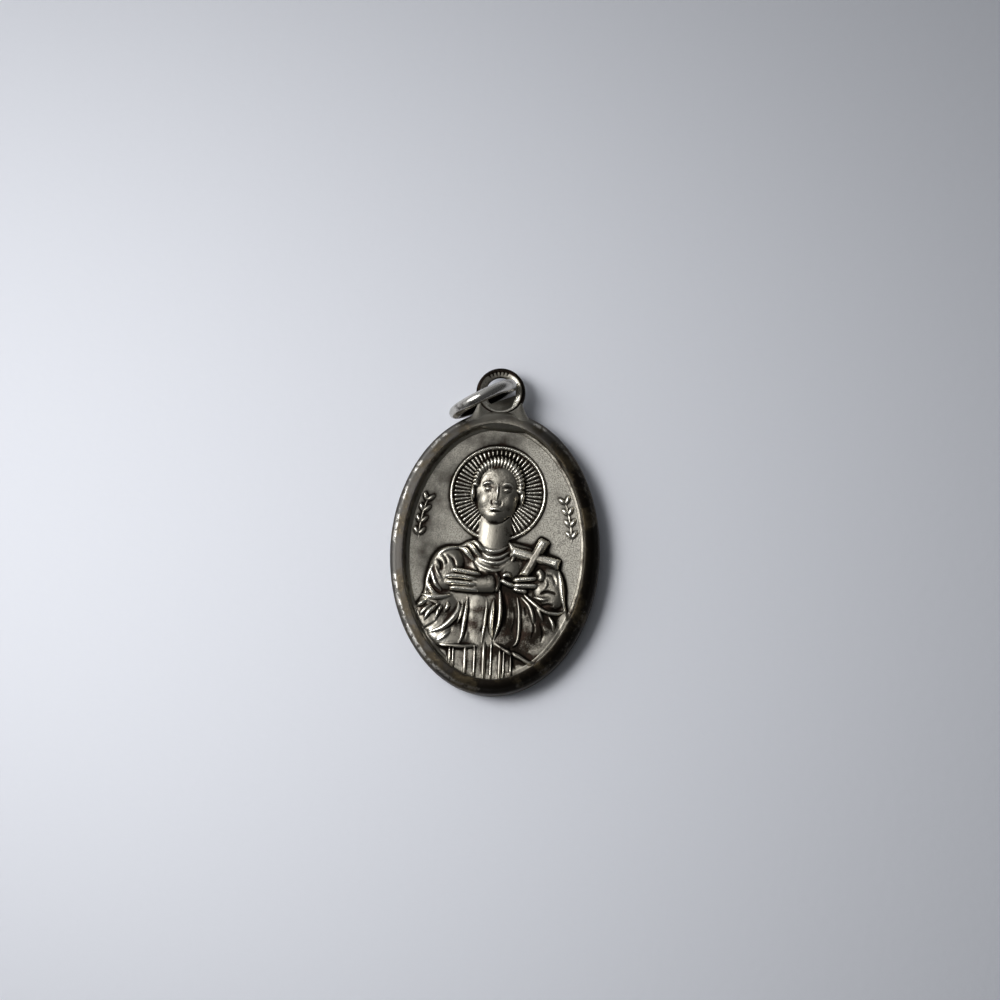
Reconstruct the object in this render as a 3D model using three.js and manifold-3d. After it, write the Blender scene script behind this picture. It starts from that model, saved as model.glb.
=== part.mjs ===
// A one inch devotional medal lying on its back, with its jump ring standing up through the eye.
// Millimetres. X runs across the medal, Y up it towards the eye, Z up out of its face.

import * as THREE from "three";
import { mergeVertices } from "three/addons/utils/BufferGeometryUtils.js";
import Module from "manifold-3d";

const wasm = await Module();
wasm.setup();

// The oval body
const OVAL_WIDTH = 16.1;
const OVAL_LENGTH = 22;
const RIM_THICKNESS = 2.3;
const RIM_WIDTH = 1.23;
const RIM_ROUNDING = 0.4; // of the rim's back edge
const RIM_CROWN_INSET = 1.03; // from the outline to the highest line of the rim
const RIM_FALL = 0.75; // from there down to the outline
const RIM_STEP_WIDTH = 0.19;
const RIM_STEP_HEIGHT = 0.08;
const FRONT_RECESS = 0.7;
const BACK_RECESS = 0.3;

// The eye at the top and the neck that joins it to the rim
const EYE_DIAMETER = 3.8;
const EYE_HOLE = 2.3;
const EYE_THICKNESS = 0.76;
const EYE_RISE = 1.5; // from the end of the oval to the middle of the eye
const NECK_TOP_WIDTH = 3.3;
const NECK_FOOT_WIDTH = 5.2;
const NECK_FOOT_INSET = 0.95; // from the end of the oval to the neck's foot in the rim

// The raised figure
const RELIEF_HEIGHT = 0.9; // of the highest point above the field
const FOLD_WIDTH = 0.42; // of an ordinary fold of cloth
const HALO_RADIUS = 3.6;
const HALO_LINE = 0.26;
const HALO_CENTRE_UP = 4.55;
const RAY_COUNT = 60;
const RAY_WIDTH = 0.18;
const CROSS_BAR_WIDTH = 0.8;
const LEAF_LENGTH = 0.72;
const LEAF_WIDTH = 0.34;
const LEAF_PAIRS = 4;
const SPRIG_INSET = 2.1; // from the oval's outline to the stem

// The jump ring
const RING_DIAMETER = 5.7;
const RING_WIRE = 0.92;
const RING_TURN = THREE.MathUtils.degToRad(28); // of its plane about the vertical
const RING_LEAN = THREE.MathUtils.degToRad(5); // off upright, resting in the eye
const RING_SHIFT = 1.5; // from the middle of the eye to the middle of the ring, along the ring's plane
const RING_CLEARANCE = 0.15; // between the wire on the table and the eye above it

// How fine the rounded forms are
const OVAL_STEPS = 72;
const RING_STEPS = 56;
const WIRE_SIDES = 12;
const FOLD_SIDES = 6;

// Worked out from the sizes above
const FIELD_HALF_WIDTH = OVAL_WIDTH / 2 - RIM_WIDTH;
const FIELD_HALF_LENGTH = OVAL_LENGTH / 2 - RIM_WIDTH;
const FIELD_TOP = RIM_THICKNESS - FRONT_RECESS;
const EYE_UP = OVAL_LENGTH / 2 + EYE_RISE;
const EYE_HEIGHT = RING_WIRE + RING_CLEARANCE + EYE_THICKNESS / 2;

// In the tables below, across and up are shares of the field's half width and half length from its middle,
// from and rise are shares of RELIEF_HEIGHT above the field, and turns are degrees anticlockwise.

// The outline of the robe, down its left side and up its right
const ROBE_OUTLINE = [
  { across: -0.17, up: 0.1 },
  { across: -0.29, up: 0.09 },
  { across: -0.38, up: 0.055 },
  { across: -0.55, up: 0.02 },
  { across: -0.65, up: -0.03 },
  { across: -0.71, up: -0.12 },
  { across: -0.75, up: -0.22 },
  { across: -0.79, up: -0.35 },
  { across: -0.87, up: -0.45 },
  { across: -0.8, up: -0.56 },
  { across: -0.7, up: -0.65 },
  { across: -0.6, up: -0.73 },
  { across: -0.49, up: -0.77 },
  { across: -0.49, up: -0.93 },
  { across: 0, up: -1.04 },
  { across: 0.5, up: -0.95 },
  { across: 0.9, up: -0.6 },
  { across: 0.84, up: -0.45 },
  { across: 0.79, up: -0.33 },
  { across: 0.75, up: -0.2 },
  { across: 0.7, up: -0.1 },
  { across: 0.56, up: 0 },
  { across: 0.4, up: 0.05 },
  { across: 0.17, up: 0.09 },
];

// The rounded masses of the body under the cloth: width and length are shares like across and up
const BODY_MASSES = [
  { part: "chest", across: 0, up: -0.13, width: 0.62, length: 0.3, turn: 0, rise: 0.5 },
  { part: "left upper arm", across: -0.53, up: -0.14, width: 0.4, length: 0.37, turn: -14, rise: 0.66 },
  { part: "left sleeve", across: -0.61, up: -0.48, width: 0.5, length: 0.36, turn: -10, rise: 0.48 },
  { part: "left sleeve hem", across: -0.48, up: -0.64, width: 0.52, length: 0.26, turn: -16, rise: 0.44 },
  { part: "front panel", across: -0.15, up: -0.53, width: 0.3, length: 0.46, turn: 0, rise: 0.37 },
  { part: "right forearm", across: 0.62, up: -0.27, width: 0.38, length: 0.42, turn: 14, rise: 0.66 },
  { part: "right sleeve", across: 0.49, up: -0.58, width: 0.56, length: 0.6, turn: 12, rise: 0.44 },
];

// Folds of cloth: each swells from nothing at one end to its full width and back
const CLOTH_FOLDS = [
  {
    part: "cowl left outer", width: 1.1, from: 0.3, rise: 0.6,
    path: [[-0.4, 0.03], [-0.33, 0.01], [-0.28, -0.03], [-0.2, -0.09]],
  },
  {
    part: "cowl left middle", width: 1, from: 0.3, rise: 0.66,
    path: [[-0.33, 0.07], [-0.26, 0.04], [-0.2, -0.01], [-0.12, -0.05]],
  },
  {
    part: "cowl left inner", width: 0.9, from: 0.3, rise: 0.68,
    path: [[-0.26, 0.09], [-0.2, 0.06], [-0.14, 0.02], [-0.06, 0]],
  },
  {
    part: "cowl top", width: 0.9, from: 0.3, rise: 0.62,
    path: [[-0.17, 0.055], [-0.07, 0.01], [0.05, 0.005], [0.16, 0.05]],
  },
  {
    part: "cowl front upper", width: 1, from: 0.3, rise: 0.66,
    path: [[-0.15, 0.0], [-0.06, -0.045], [0.06, -0.045], [0.18, 0.01]],
  },
  {
    part: "cowl front middle", width: 1, from: 0.3, rise: 0.66,
    path: [[-0.2, -0.04], [-0.08, -0.08], [0.07, -0.085], [0.2, -0.03]],
  },
  {
    part: "cowl front lower", width: 1.1, from: 0.3, rise: 0.64,
    path: [[-0.24, -0.07], [-0.1, -0.13], [0.04, -0.15], [0.17, -0.1]],
  },
  {
    part: "cowl point", width: 1, from: 0.3, rise: 0.58,
    path: [[-0.2, -0.1], [-0.08, -0.17], [0.05, -0.225], [0.16, -0.17]],
  },
  {
    part: "cowl right", width: 1, from: 0.3, rise: 0.56,
    path: [[0.16, 0.08], [0.2, 0.03], [0.22, -0.03], [0.19, -0.09]],
  },
  {
    part: "shoulder edge", width: 1, from: 0.3, rise: 0.62,
    path: [[-0.38, 0.03], [-0.5, 0.015], [-0.6, -0.02], [-0.68, -0.09]],
  },
  {
    part: "arm edge", width: 0.9, from: 0.3, rise: 0.62,
    path: [[-0.62, -0.05], [-0.69, -0.13], [-0.735, -0.23], [-0.755, -0.33]],
  },
  {
    part: "upper arm outer", width: 0.9, from: 0.45, rise: 0.7,
    path: [[-0.7, -0.13], [-0.68, -0.2], [-0.64, -0.27], [-0.58, -0.32]],
  },
  {
    part: "upper arm middle", width: 0.8, from: 0.45, rise: 0.72,
    path: [[-0.66, -0.09], [-0.64, -0.16], [-0.59, -0.22], [-0.54, -0.26]],
  },
  {
    part: "elbow", width: 0.9, from: 0.35, rise: 0.62,
    path: [[-0.75, -0.23], [-0.72, -0.29], [-0.66, -0.34], [-0.58, -0.36]],
  },
  {
    part: "sleeve top", width: 1.1, from: 0.3, rise: 0.64,
    path: [[-0.8, -0.35], [-0.7, -0.37], [-0.58, -0.37], [-0.46, -0.35]],
  },
  {
    part: "sleeve outer upper", width: 1, from: 0.3, rise: 0.66,
    path: [[-0.72, -0.39], [-0.79, -0.42], [-0.85, -0.45]],
  },
  {
    part: "sleeve outer lower", width: 1, from: 0.3, rise: 0.64,
    path: [[-0.66, -0.42], [-0.75, -0.47], [-0.82, -0.52]],
  },
  {
    part: "sleeve diagonal", width: 0.9, from: 0.45, rise: 0.74,
    path: [[-0.58, -0.41], [-0.66, -0.46], [-0.72, -0.5], [-0.76, -0.56]],
  },
  {
    part: "sleeve short", width: 0.8, from: 0.45, rise: 0.74,
    path: [[-0.56, -0.43], [-0.6, -0.48], [-0.64, -0.56]],
  },
  {
    part: "sleeve inner", width: 0.8, from: 0.45, rise: 0.72,
    path: [[-0.5, -0.4], [-0.5, -0.44], [-0.54, -0.49]],
  },
  {
    part: "sleeve crescent", width: 1.3, from: 0.35, rise: 0.76,
    path: [[-0.38, -0.4], [-0.38, -0.47], [-0.44, -0.54], [-0.55, -0.61], [-0.7, -0.65]],
  },
  {
    part: "sleeve hem", width: 1.4, from: 0.25, rise: 0.62,
    path: [[-0.44, -0.6], [-0.52, -0.66], [-0.62, -0.72]],
  },
  {
    part: "sleeve hem edge", width: 0.9, from: 0.25, rise: 0.52,
    path: [[-0.58, -0.745], [-0.45, -0.75], [-0.3, -0.755], [-0.12, -0.74]],
  },
  {
    part: "long left", width: 0.9, from: 0.3, rise: 0.7,
    path: [[-0.28, -0.36], [-0.29, -0.45], [-0.31, -0.56], [-0.33, -0.67], [-0.37, -0.74]],
  },
  {
    part: "long left twin", width: 0.6, from: 0.3, rise: 0.62,
    path: [[-0.33, -0.41], [-0.35, -0.5], [-0.39, -0.58]],
  },
  {
    part: "panel edge", width: 0.7, from: 0.3, rise: 0.58,
    path: [[-0.06, -0.38], [-0.07, -0.5], [-0.09, -0.62], [-0.1, -0.72]],
  },
  {
    part: "centre drop left", width: 0.75, from: 0.25, rise: 0.84,
    path: [[0, -0.37], [-0.012, -0.47], [-0.018, -0.58], [0, -0.69]],
  },
  {
    part: "centre drop right", width: 0.8, from: 0.25, rise: 0.86,
    path: [[0.065, -0.25], [0.095, -0.4], [0.095, -0.56], [0.03, -0.7]],
  },
  {
    part: "forearm edge", width: 0.9, from: 0.3, rise: 0.66,
    path: [[0.73, -0.13], [0.76, -0.22], [0.78, -0.33], [0.82, -0.46]],
  },
  {
    part: "forearm lower edge", width: 1, from: 0.3, rise: 0.7,
    path: [[0.32, -0.31], [0.44, -0.39], [0.58, -0.46], [0.72, -0.48], [0.81, -0.46]],
  },
  {
    part: "forearm crease", width: 0.7, from: 0.45, rise: 0.74,
    path: [[0.46, -0.35], [0.57, -0.37], [0.68, -0.36]],
  },
  { part: "cuff", width: 0.9, from: 0.45, rise: 0.76, path: [[0.58, -0.19], [0.6, -0.25], [0.55, -0.31]] },
  {
    part: "right sleeve inner", width: 0.9, from: 0.25, rise: 0.62,
    path: [[0.27, -0.34], [0.3, -0.45], [0.31, -0.6], [0.29, -0.71], [0.23, -0.75]],
  },
  {
    part: "right sleeve second", width: 0.9, from: 0.35, rise: 0.66,
    path: [[0.32, -0.35], [0.42, -0.43], [0.46, -0.51], [0.47, -0.58]],
  },
  {
    part: "right sleeve third", width: 0.9, from: 0.35, rise: 0.66,
    path: [[0.48, -0.42], [0.53, -0.47], [0.58, -0.55]],
  },
  {
    part: "right sleeve fourth", width: 0.8, from: 0.35, rise: 0.62,
    path: [[0.62, -0.48], [0.68, -0.55], [0.7, -0.62]],
  },
  {
    part: "right sleeve hem", width: 1.1, from: 0.2, rise: 0.56,
    path: [[0.02, -0.71], [0.14, -0.77], [0.3, -0.82], [0.44, -0.87], [0.55, -0.88]],
  },
];

// The pleats of the skirt below the sleeves
const SKIRT_PLEATS = [
  { across: -0.46, top: -0.79, foot: -0.9, width: 0.45 },
  { across: -0.42, top: -0.79, foot: -0.92, width: 0.4 },
  { across: -0.285, top: -0.78, foot: -0.97, width: 0.75 },
  { across: -0.18, top: -0.78, foot: -0.98, width: 0.5 },
  { across: -0.075, top: -0.75, foot: -1, width: 0.85 },
  { across: 0.005, top: -0.74, foot: -1, width: 0.45 },
  { across: 0.105, top: -0.78, foot: -1, width: 0.75 },
  { across: 0.15, top: -0.79, foot: -0.99, width: 0.45 },
  { across: 0.23, top: -0.84, foot: -0.98, width: 0.5 },
];

// Fingers, thumb and the backs of the hands
const HAND_FORMS = [
  {
    part: "back of left hand", width: 3.6, from: 0.3, rise: 0.78,
    path: [[-0.26, -0.24], [-0.1, -0.25], [0.06, -0.24]],
  },
  {
    part: "left first finger", width: 1.05, from: 0.4, rise: 0.86,
    path: [[-0.48, -0.15], [-0.32, -0.165], [-0.13, -0.19]],
  },
  {
    part: "left second finger", width: 1.05, from: 0.4, rise: 0.88,
    path: [[-0.56, -0.205], [-0.38, -0.205], [-0.15, -0.23]],
  },
  {
    part: "left third finger", width: 1.05, from: 0.4, rise: 0.86,
    path: [[-0.55, -0.25], [-0.37, -0.255], [-0.15, -0.27]],
  },
  {
    part: "left fourth finger", width: 0.95, from: 0.4, rise: 0.8,
    path: [[-0.49, -0.295], [-0.34, -0.3], [-0.15, -0.31]],
  },
  {
    part: "left cuff", width: 1.1, from: 0.3, rise: 0.72,
    path: [[0.02, -0.16], [0.06, -0.23], [0.04, -0.32]],
  },
  {
    part: "right thumb", width: 0.9, from: 0.3, rise: 0.74,
    path: [[0.1, -0.2], [0.15, -0.18], [0.2, -0.19]],
  },
  {
    part: "right first finger", width: 1, from: 0.3, rise: 0.78,
    path: [[0.08, -0.22], [0.16, -0.25], [0.24, -0.27]],
  },
  {
    part: "right second finger", width: 1.1, from: 0.35, rise: 0.86,
    path: [[0.22, -0.225], [0.35, -0.215], [0.5, -0.205]],
  },
  {
    part: "right third finger", width: 1.1, from: 0.35, rise: 0.84,
    path: [[0.22, -0.265], [0.36, -0.265], [0.51, -0.265]],
  },
  {
    part: "right fourth finger", width: 0.9, from: 0.3, rise: 0.76,
    path: [[0.22, -0.29], [0.31, -0.305], [0.39, -0.31]],
  },
  {
    part: "right knuckles", width: 1.6, from: 0.4, rise: 0.82,
    path: [[0.49, -0.14], [0.54, -0.18], [0.53, -0.23]],
  },
];

// The two bars of the cross held in the right hand
const CROSS_BARS = [
  { part: "shaft", foot: [0.345, -0.19], head: [0.565, 0.105], rise: 0.72 },
  { part: "bar", foot: [0.19, 0.01], head: [0.735, -0.09], rise: 0.72 },
];

// The head is drawn by itself, in shares of its half width and half height, and leans a little to the right
const HEAD_ACROSS = 0.1;
const HEAD_UP = 4.8;
const HEAD_HALF_WIDTH = 2.2;
const HEAD_HALF_HEIGHT = 2.8;
const HEAD_TILT = THREE.MathUtils.degToRad(-3.5);

// The rounded masses of the head and neck
const HEAD_MASSES = [
  { part: "neck", across: 0.02, up: -1.2, width: 1.2, length: 2.1, rise: 0.56 },
  { part: "hair", across: 0, up: 0.2, width: 1.92, length: 1.58, rise: 0.7 },
  { part: "skull", across: 0, up: 0.14, width: 1.68, length: 1.66, rise: 0.8 },
  { part: "face", across: 0, up: -0.22, width: 1.46, length: 1.54, rise: 0.86 },
  { part: "beard", across: 0, up: -0.72, width: 0.96, length: 0.52, rise: 0.84 },
  { part: "left cheek", across: -0.36, up: -0.22, width: 0.56, length: 0.5, rise: 0.82 },
  { part: "right cheek", across: 0.36, up: -0.22, width: 0.56, length: 0.5, rise: 0.82 },
  { part: "left ear", across: -0.87, up: -0.12, width: 0.2, length: 0.5, rise: 0.64 },
  { part: "right ear", across: 0.87, up: -0.12, width: 0.2, length: 0.5, rise: 0.64 },
  { part: "left eye", across: -0.33, up: 0, width: 0.36, length: 0.13, rise: 0.87 },
  { part: "right eye", across: 0.33, up: 0, width: 0.36, length: 0.13, rise: 0.87 },
  { part: "tip of nose", across: 0, up: -0.36, width: 0.28, length: 0.16, rise: 1 },
];

// The ridges of the face: widths are shares of FOLD_WIDTH
const FACE_RIDGES = [
  {
    part: "bridge of nose", width: 0.7, from: 0.7, rise: 0.97,
    path: [[0, 0.2], [0, 0.02], [0, -0.2], [0, -0.4]],
  },
  {
    part: "left brow", width: 0.55, from: 0.65, rise: 0.88,
    path: [[-0.58, 0.08], [-0.42, 0.16], [-0.24, 0.16], [-0.08, 0.1]],
  },
  {
    part: "right brow", width: 0.55, from: 0.65, rise: 0.88,
    path: [[0.58, 0.08], [0.42, 0.16], [0.24, 0.16], [0.08, 0.1]],
  },
  {
    part: "upper lip", width: 0.45, from: 0.7, rise: 0.9,
    path: [[-0.26, -0.58], [-0.1, -0.55], [0.1, -0.55], [0.26, -0.58]],
  },
  {
    part: "lower lip", width: 0.5, from: 0.7, rise: 0.9,
    path: [[-0.2, -0.635], [-0.07, -0.665], [0.07, -0.665], [0.2, -0.635]],
  },
];

// Short locks of cropped hair fan out over the head from one ear over the crown to the other
const HAIR_LOCKS = 23;
const HAIR_LOCK_START = THREE.MathUtils.degToRad(-4);
const HAIR_LOCK_END = THREE.MathUtils.degToRad(184);

function solidFrom(geometry) {
  geometry.deleteAttribute("normal");
  geometry.deleteAttribute("uv");
  const merged = mergeVertices(geometry, 1e-4);
  const mesh = new wasm.Mesh({
    numProp: 3,
    vertProperties: new Float32Array(merged.attributes.position.array),
    triVerts: new Uint32Array(merged.index.array),
  });
  return new wasm.Manifold(mesh);
}

function geometryFrom(solid) {
  const mesh = solid.getMesh();
  const position = new Float32Array(mesh.numVert * 3);
  for (let i = 0; i < mesh.numVert; i++) {
    position.set(mesh.vertProperties.subarray(i * mesh.numProp, i * mesh.numProp + 3), i * 3);
  }
  const geometry = new THREE.BufferGeometry();
  geometry.setAttribute("position", new THREE.BufferAttribute(position, 3));
  geometry.setIndex(new THREE.BufferAttribute(mesh.triVerts, 1));
  return geometry;
}

// The same solid with the small voids that lie closed in between its forms filled.
function outerShell(solid) {
  const shells = solid.decompose();
  return shells.reduce((best, shell) => (shell.volume() > best.volume() ? shell : best));
}

const inField = ([across, up]) => new THREE.Vector2(across * FIELD_HALF_WIDTH, up * FIELD_HALF_LENGTH);

const HEAD_MIDDLE = new THREE.Vector2(HEAD_ACROSS, HEAD_UP);

const inHead = ([across, up]) =>
  HEAD_MIDDLE.clone()
    .add(new THREE.Vector2(across * HEAD_HALF_WIDTH, up * HEAD_HALF_HEIGHT))
    .rotateAround(HEAD_MIDDLE, HEAD_TILT);

// The solid whose surface runs round the oval at a row of insets from its outline and heights.
// The first and last rows close over the middle.
function ovalSolid(profile) {
  const positions = [];
  const index = [];
  for (const { inset, height } of profile) {
    for (let i = 0; i < OVAL_STEPS; i++) {
      const angle = (2 * Math.PI * i) / OVAL_STEPS;
      const across = Math.cos(angle);
      const up = Math.sin(angle);
      const outward = new THREE.Vector2(across / OVAL_WIDTH, up / OVAL_LENGTH).normalize();
      const x = (OVAL_WIDTH / 2) * across - inset * outward.x;
      const y = (OVAL_LENGTH / 2) * up - inset * outward.y;
      positions.push(x, y, height);
    }
  }
  for (let row = 0; row < profile.length - 1; row++) {
    for (let i = 0; i < OVAL_STEPS; i++) {
      const next = (i + 1) % OVAL_STEPS;
      const low = row * OVAL_STEPS;
      const high = low + OVAL_STEPS;
      index.push(low + i, low + next, high + next, low + i, high + next, high + i);
    }
  }
  const lastRow = (profile.length - 1) * OVAL_STEPS;
  const firstMiddle = positions.length / 3;
  positions.push(0, 0, profile[0].height, 0, 0, profile.at(-1).height);
  for (let i = 0; i < OVAL_STEPS; i++) {
    const next = (i + 1) % OVAL_STEPS;
    index.push(firstMiddle, next, i);
    index.push(firstMiddle + 1, lastRow + i, lastRow + next);
  }
  const geometry = new THREE.BufferGeometry();
  geometry.setAttribute("position", new THREE.Float32BufferAttribute(positions, 3));
  geometry.setIndex(index);
  return solidFrom(geometry);
}

// Half an ellipsoid standing on the field, its lower half sunk in the metal.
function dome({ middle, width, length, turn = 0, rise, sides = 14 }) {
  const geometry = new THREE.SphereGeometry(1, sides, Math.round(sides / 2));
  geometry.rotateX(Math.PI / 2);
  geometry.scale(width / 2, length / 2, rise * RELIEF_HEIGHT);
  geometry.rotateZ(THREE.MathUtils.degToRad(turn));
  geometry.translate(middle.x, middle.y, FIELD_TOP);
  return solidFrom(geometry);
}

// A rounded ridge along a smooth curve. It starts and ends in a point, or in a round end if blunt.
function ridge({ points, width, from, rise, blunt = false, steps = 7 }) {
  const curve = new THREE.CatmullRomCurve3(points.map((p) => new THREE.Vector3(p.x, p.y, 0)));
  const floor = FIELD_TOP + from * RELIEF_HEIGHT;
  const height = (rise - from) * RELIEF_HEIGHT;
  const positions = [];
  const index = [];
  const addPoint = (point) => positions.push(point.x, point.y, floor);
  addPoint(curve.getPoint(0));
  for (let step = 1; step < steps; step++) {
    const share = blunt ? (1 - Math.cos((Math.PI * step) / steps)) / 2 : step / steps;
    const swell = blunt ? Math.sqrt(1 - (2 * share - 1) ** 6) : Math.sin(Math.PI * share) ** 0.7;
    const middle = curve.getPoint(share);
    const along = curve.getTangent(share);
    for (let side = 0; side < FOLD_SIDES; side++) {
      const angle = (2 * Math.PI * (side + 0.5)) / FOLD_SIDES;
      const out = (width / 2) * swell * Math.cos(angle);
      const z = floor + height * swell * Math.sin(angle);
      positions.push(middle.x - along.y * out, middle.y + along.x * out, z);
    }
  }
  addPoint(curve.getPoint(1));
  const last = positions.length / 3 - 1;
  for (let side = 0; side < FOLD_SIDES; side++) {
    const next = (side + 1) % FOLD_SIDES;
    index.push(0, 1 + next, 1 + side);
    index.push(last, last - FOLD_SIDES + side, last - FOLD_SIDES + next);
    for (let step = 0; step < steps - 2; step++) {
      const near = 1 + step * FOLD_SIDES;
      const far = near + FOLD_SIDES;
      index.push(near + side, far + next, far + side, near + side, near + next, far + next);
    }
  }
  const geometry = new THREE.BufferGeometry();
  geometry.setAttribute("position", new THREE.Float32BufferAttribute(positions, 3));
  geometry.setIndex(index);
  return solidFrom(geometry);
}

// A straight bar with bevelled edges from one point to another.
function bevelledBar({ foot, head, width, rise }) {
  const along = head.clone().sub(foot);
  const bevel = width * 0.28;
  const outline = new THREE.Shape();
  outline.moveTo(bevel, bevel - width / 2);
  outline.lineTo(along.length() - bevel, bevel - width / 2);
  outline.lineTo(along.length() - bevel, width / 2 - bevel);
  outline.lineTo(bevel, width / 2 - bevel);
  outline.closePath();
  const geometry = new THREE.ExtrudeGeometry(outline, {
    depth: rise * RELIEF_HEIGHT - bevel,
    bevelThickness: bevel,
    bevelSize: bevel,
    bevelSegments: 1,
  });
  geometry.rotateZ(along.angle());
  geometry.translate(foot.x, foot.y, FIELD_TOP);
  return solidFrom(geometry);
}

// The rim is highest near its inner edge and falls in a curve to the outline.
function makeOval() {
  const slope = [1, 0.9, 0.7, 0.45, 0].map((share) => ({
    inset: RIM_CROWN_INSET * (1 - share),
    height: RIM_THICKNESS - RIM_FALL * (1 - Math.sqrt(1 - share * share)),
  }));
  return ovalSolid([
    { inset: RIM_WIDTH, height: BACK_RECESS },
    { inset: RIM_WIDTH - 0.15, height: 0.05 },
    { inset: RIM_WIDTH - 0.3, height: 0 },
    { inset: RIM_ROUNDING, height: 0 },
    { inset: 0, height: RIM_ROUNDING },
    ...slope,
    { inset: RIM_WIDTH - 0.12, height: RIM_THICKNESS - 0.1 },
    { inset: RIM_WIDTH, height: FIELD_TOP + RIM_STEP_HEIGHT },
    { inset: RIM_WIDTH + RIM_STEP_WIDTH, height: FIELD_TOP + RIM_STEP_HEIGHT },
    { inset: RIM_WIDTH + RIM_STEP_WIDTH * 1.3, height: FIELD_TOP },
  ]);
}

function makeEye() {
  const band = (EYE_DIAMETER - EYE_HOLE) / 4;
  const middleRadius = EYE_HOLE / 2 + band;
  const ring = new THREE.TorusGeometry(middleRadius, band, 8, 32);
  ring.scale(1, 1, EYE_THICKNESS / (2 * band));
  ring.translate(0, EYE_UP, EYE_HEIGHT);

  const flare = new THREE.Shape();
  const foot = OVAL_LENGTH / 2 - NECK_FOOT_INSET;
  const top = EYE_UP - band;
  flare.moveTo(-NECK_FOOT_WIDTH / 2, foot);
  flare.lineTo(NECK_FOOT_WIDTH / 2, foot);
  flare.quadraticCurveTo(NECK_TOP_WIDTH * 0.55, foot + NECK_FOOT_INSET, NECK_TOP_WIDTH / 2, top);
  flare.lineTo(-NECK_TOP_WIDTH / 2, top);
  flare.quadraticCurveTo(-NECK_TOP_WIDTH * 0.55, foot + NECK_FOOT_INSET, -NECK_FOOT_WIDTH / 2, foot);
  const underside = EYE_HEIGHT - EYE_THICKNESS * 0.42;
  const topAtEye = EYE_HEIGHT + EYE_THICKNESS * 0.4;
  const topAtFoot = RIM_THICKNESS - 0.04;
  const bevel = 0.16;
  const neck = new THREE.ExtrudeGeometry(flare, {
    depth: topAtEye - underside - 2 * bevel,
    bevelThickness: bevel,
    bevelSize: bevel,
    bevelOffset: -bevel,
    bevelSegments: 1,
    curveSegments: 5,
  });
  neck.translate(0, 0, underside + bevel);
  const corner = neck.attributes.position;
  for (let i = 0; i < corner.count; i++) {
    const aboveMiddle = corner.getZ(i) > EYE_HEIGHT;
    const shareToFoot = Math.min((top - corner.getY(i)) / (top - foot), 1);
    const lift = aboveMiddle ? (topAtFoot - topAtEye) * Math.max(shareToFoot, 0) : 0;
    corner.setZ(i, corner.getZ(i) + lift);
  }

  const opening = new THREE.CylinderGeometry(middleRadius, middleRadius, RIM_THICKNESS * 2, 32);
  opening.rotateX(Math.PI / 2);
  opening.translate(0, EYE_UP, EYE_HEIGHT);
  return solidFrom(neck).subtract(solidFrom(opening)).add(solidFrom(ring));
}

function makeHalo() {
  const line = new THREE.TorusGeometry(HALO_RADIUS, HALO_LINE / 2, 6, 60);
  line.scale(1, 1, 1.5);
  line.translate(HEAD_ACROSS, HALO_CENTRE_UP, FIELD_TOP + 0.02);
  const forms = [solidFrom(line)];
  for (let i = 0; i < RAY_COUNT; i++) {
    const angle = (2 * Math.PI * (i + 0.5)) / RAY_COUNT;
    const ray = new THREE.CylinderGeometry(RAY_WIDTH * 0.6, RAY_WIDTH * 0.42, HALO_RADIUS * 0.4, 4);
    ray.rotateY(Math.PI / 4);
    ray.rotateZ(-Math.PI / 2);
    ray.translate(HALO_RADIUS * 0.74, 0, 0);
    ray.rotateZ(angle);
    ray.translate(HEAD_ACROSS, HALO_CENTRE_UP, FIELD_TOP + 0.03);
    forms.push(solidFrom(ray));
  }
  return forms;
}

function makeRobe() {
  const outline = new THREE.Shape(ROBE_OUTLINE.map(({ across, up }) => inField([across, up])));
  const bevel = 0.12;
  const cloth = new THREE.ExtrudeGeometry(outline, {
    depth: 0.28 * RELIEF_HEIGHT + bevel,
    bevelThickness: bevel,
    bevelSize: bevel,
    bevelOffset: -bevel,
    bevelSegments: 1,
  });
  cloth.translate(0, 0, FIELD_TOP - bevel);
  const forms = [solidFrom(cloth)];
  for (const { across, up, width, length, turn, rise } of BODY_MASSES) {
    forms.push(
      dome({
        middle: inField([across, up]),
        width: width * FIELD_HALF_WIDTH,
        length: length * FIELD_HALF_LENGTH,
        turn,
        rise,
      }),
    );
  }
  for (const { width, from, rise, path } of CLOTH_FOLDS) {
    forms.push(ridge({ points: path.map(inField), width: width * FOLD_WIDTH, from, rise }));
  }
  for (const { across, top, foot, width } of SKIRT_PLEATS) {
    const points = [[across, top + 0.04], [across, (top + foot) / 2], [across, foot - 0.05]].map(inField);
    forms.push(ridge({ points, width: width * FOLD_WIDTH, from: 0.2, rise: 0.48, blunt: true, steps: 6 }));
  }
  return forms;
}

function makeHands() {
  return HAND_FORMS.map(({ width, from, rise, path }) =>
    ridge({ points: path.map(inField), width: width * FOLD_WIDTH, from, rise, blunt: true }),
  );
}

function makeCross() {
  return CROSS_BARS.map(({ foot, head, rise }) =>
    bevelledBar({ foot: inField(foot), head: inField(head), width: CROSS_BAR_WIDTH, rise }),
  );
}

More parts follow.
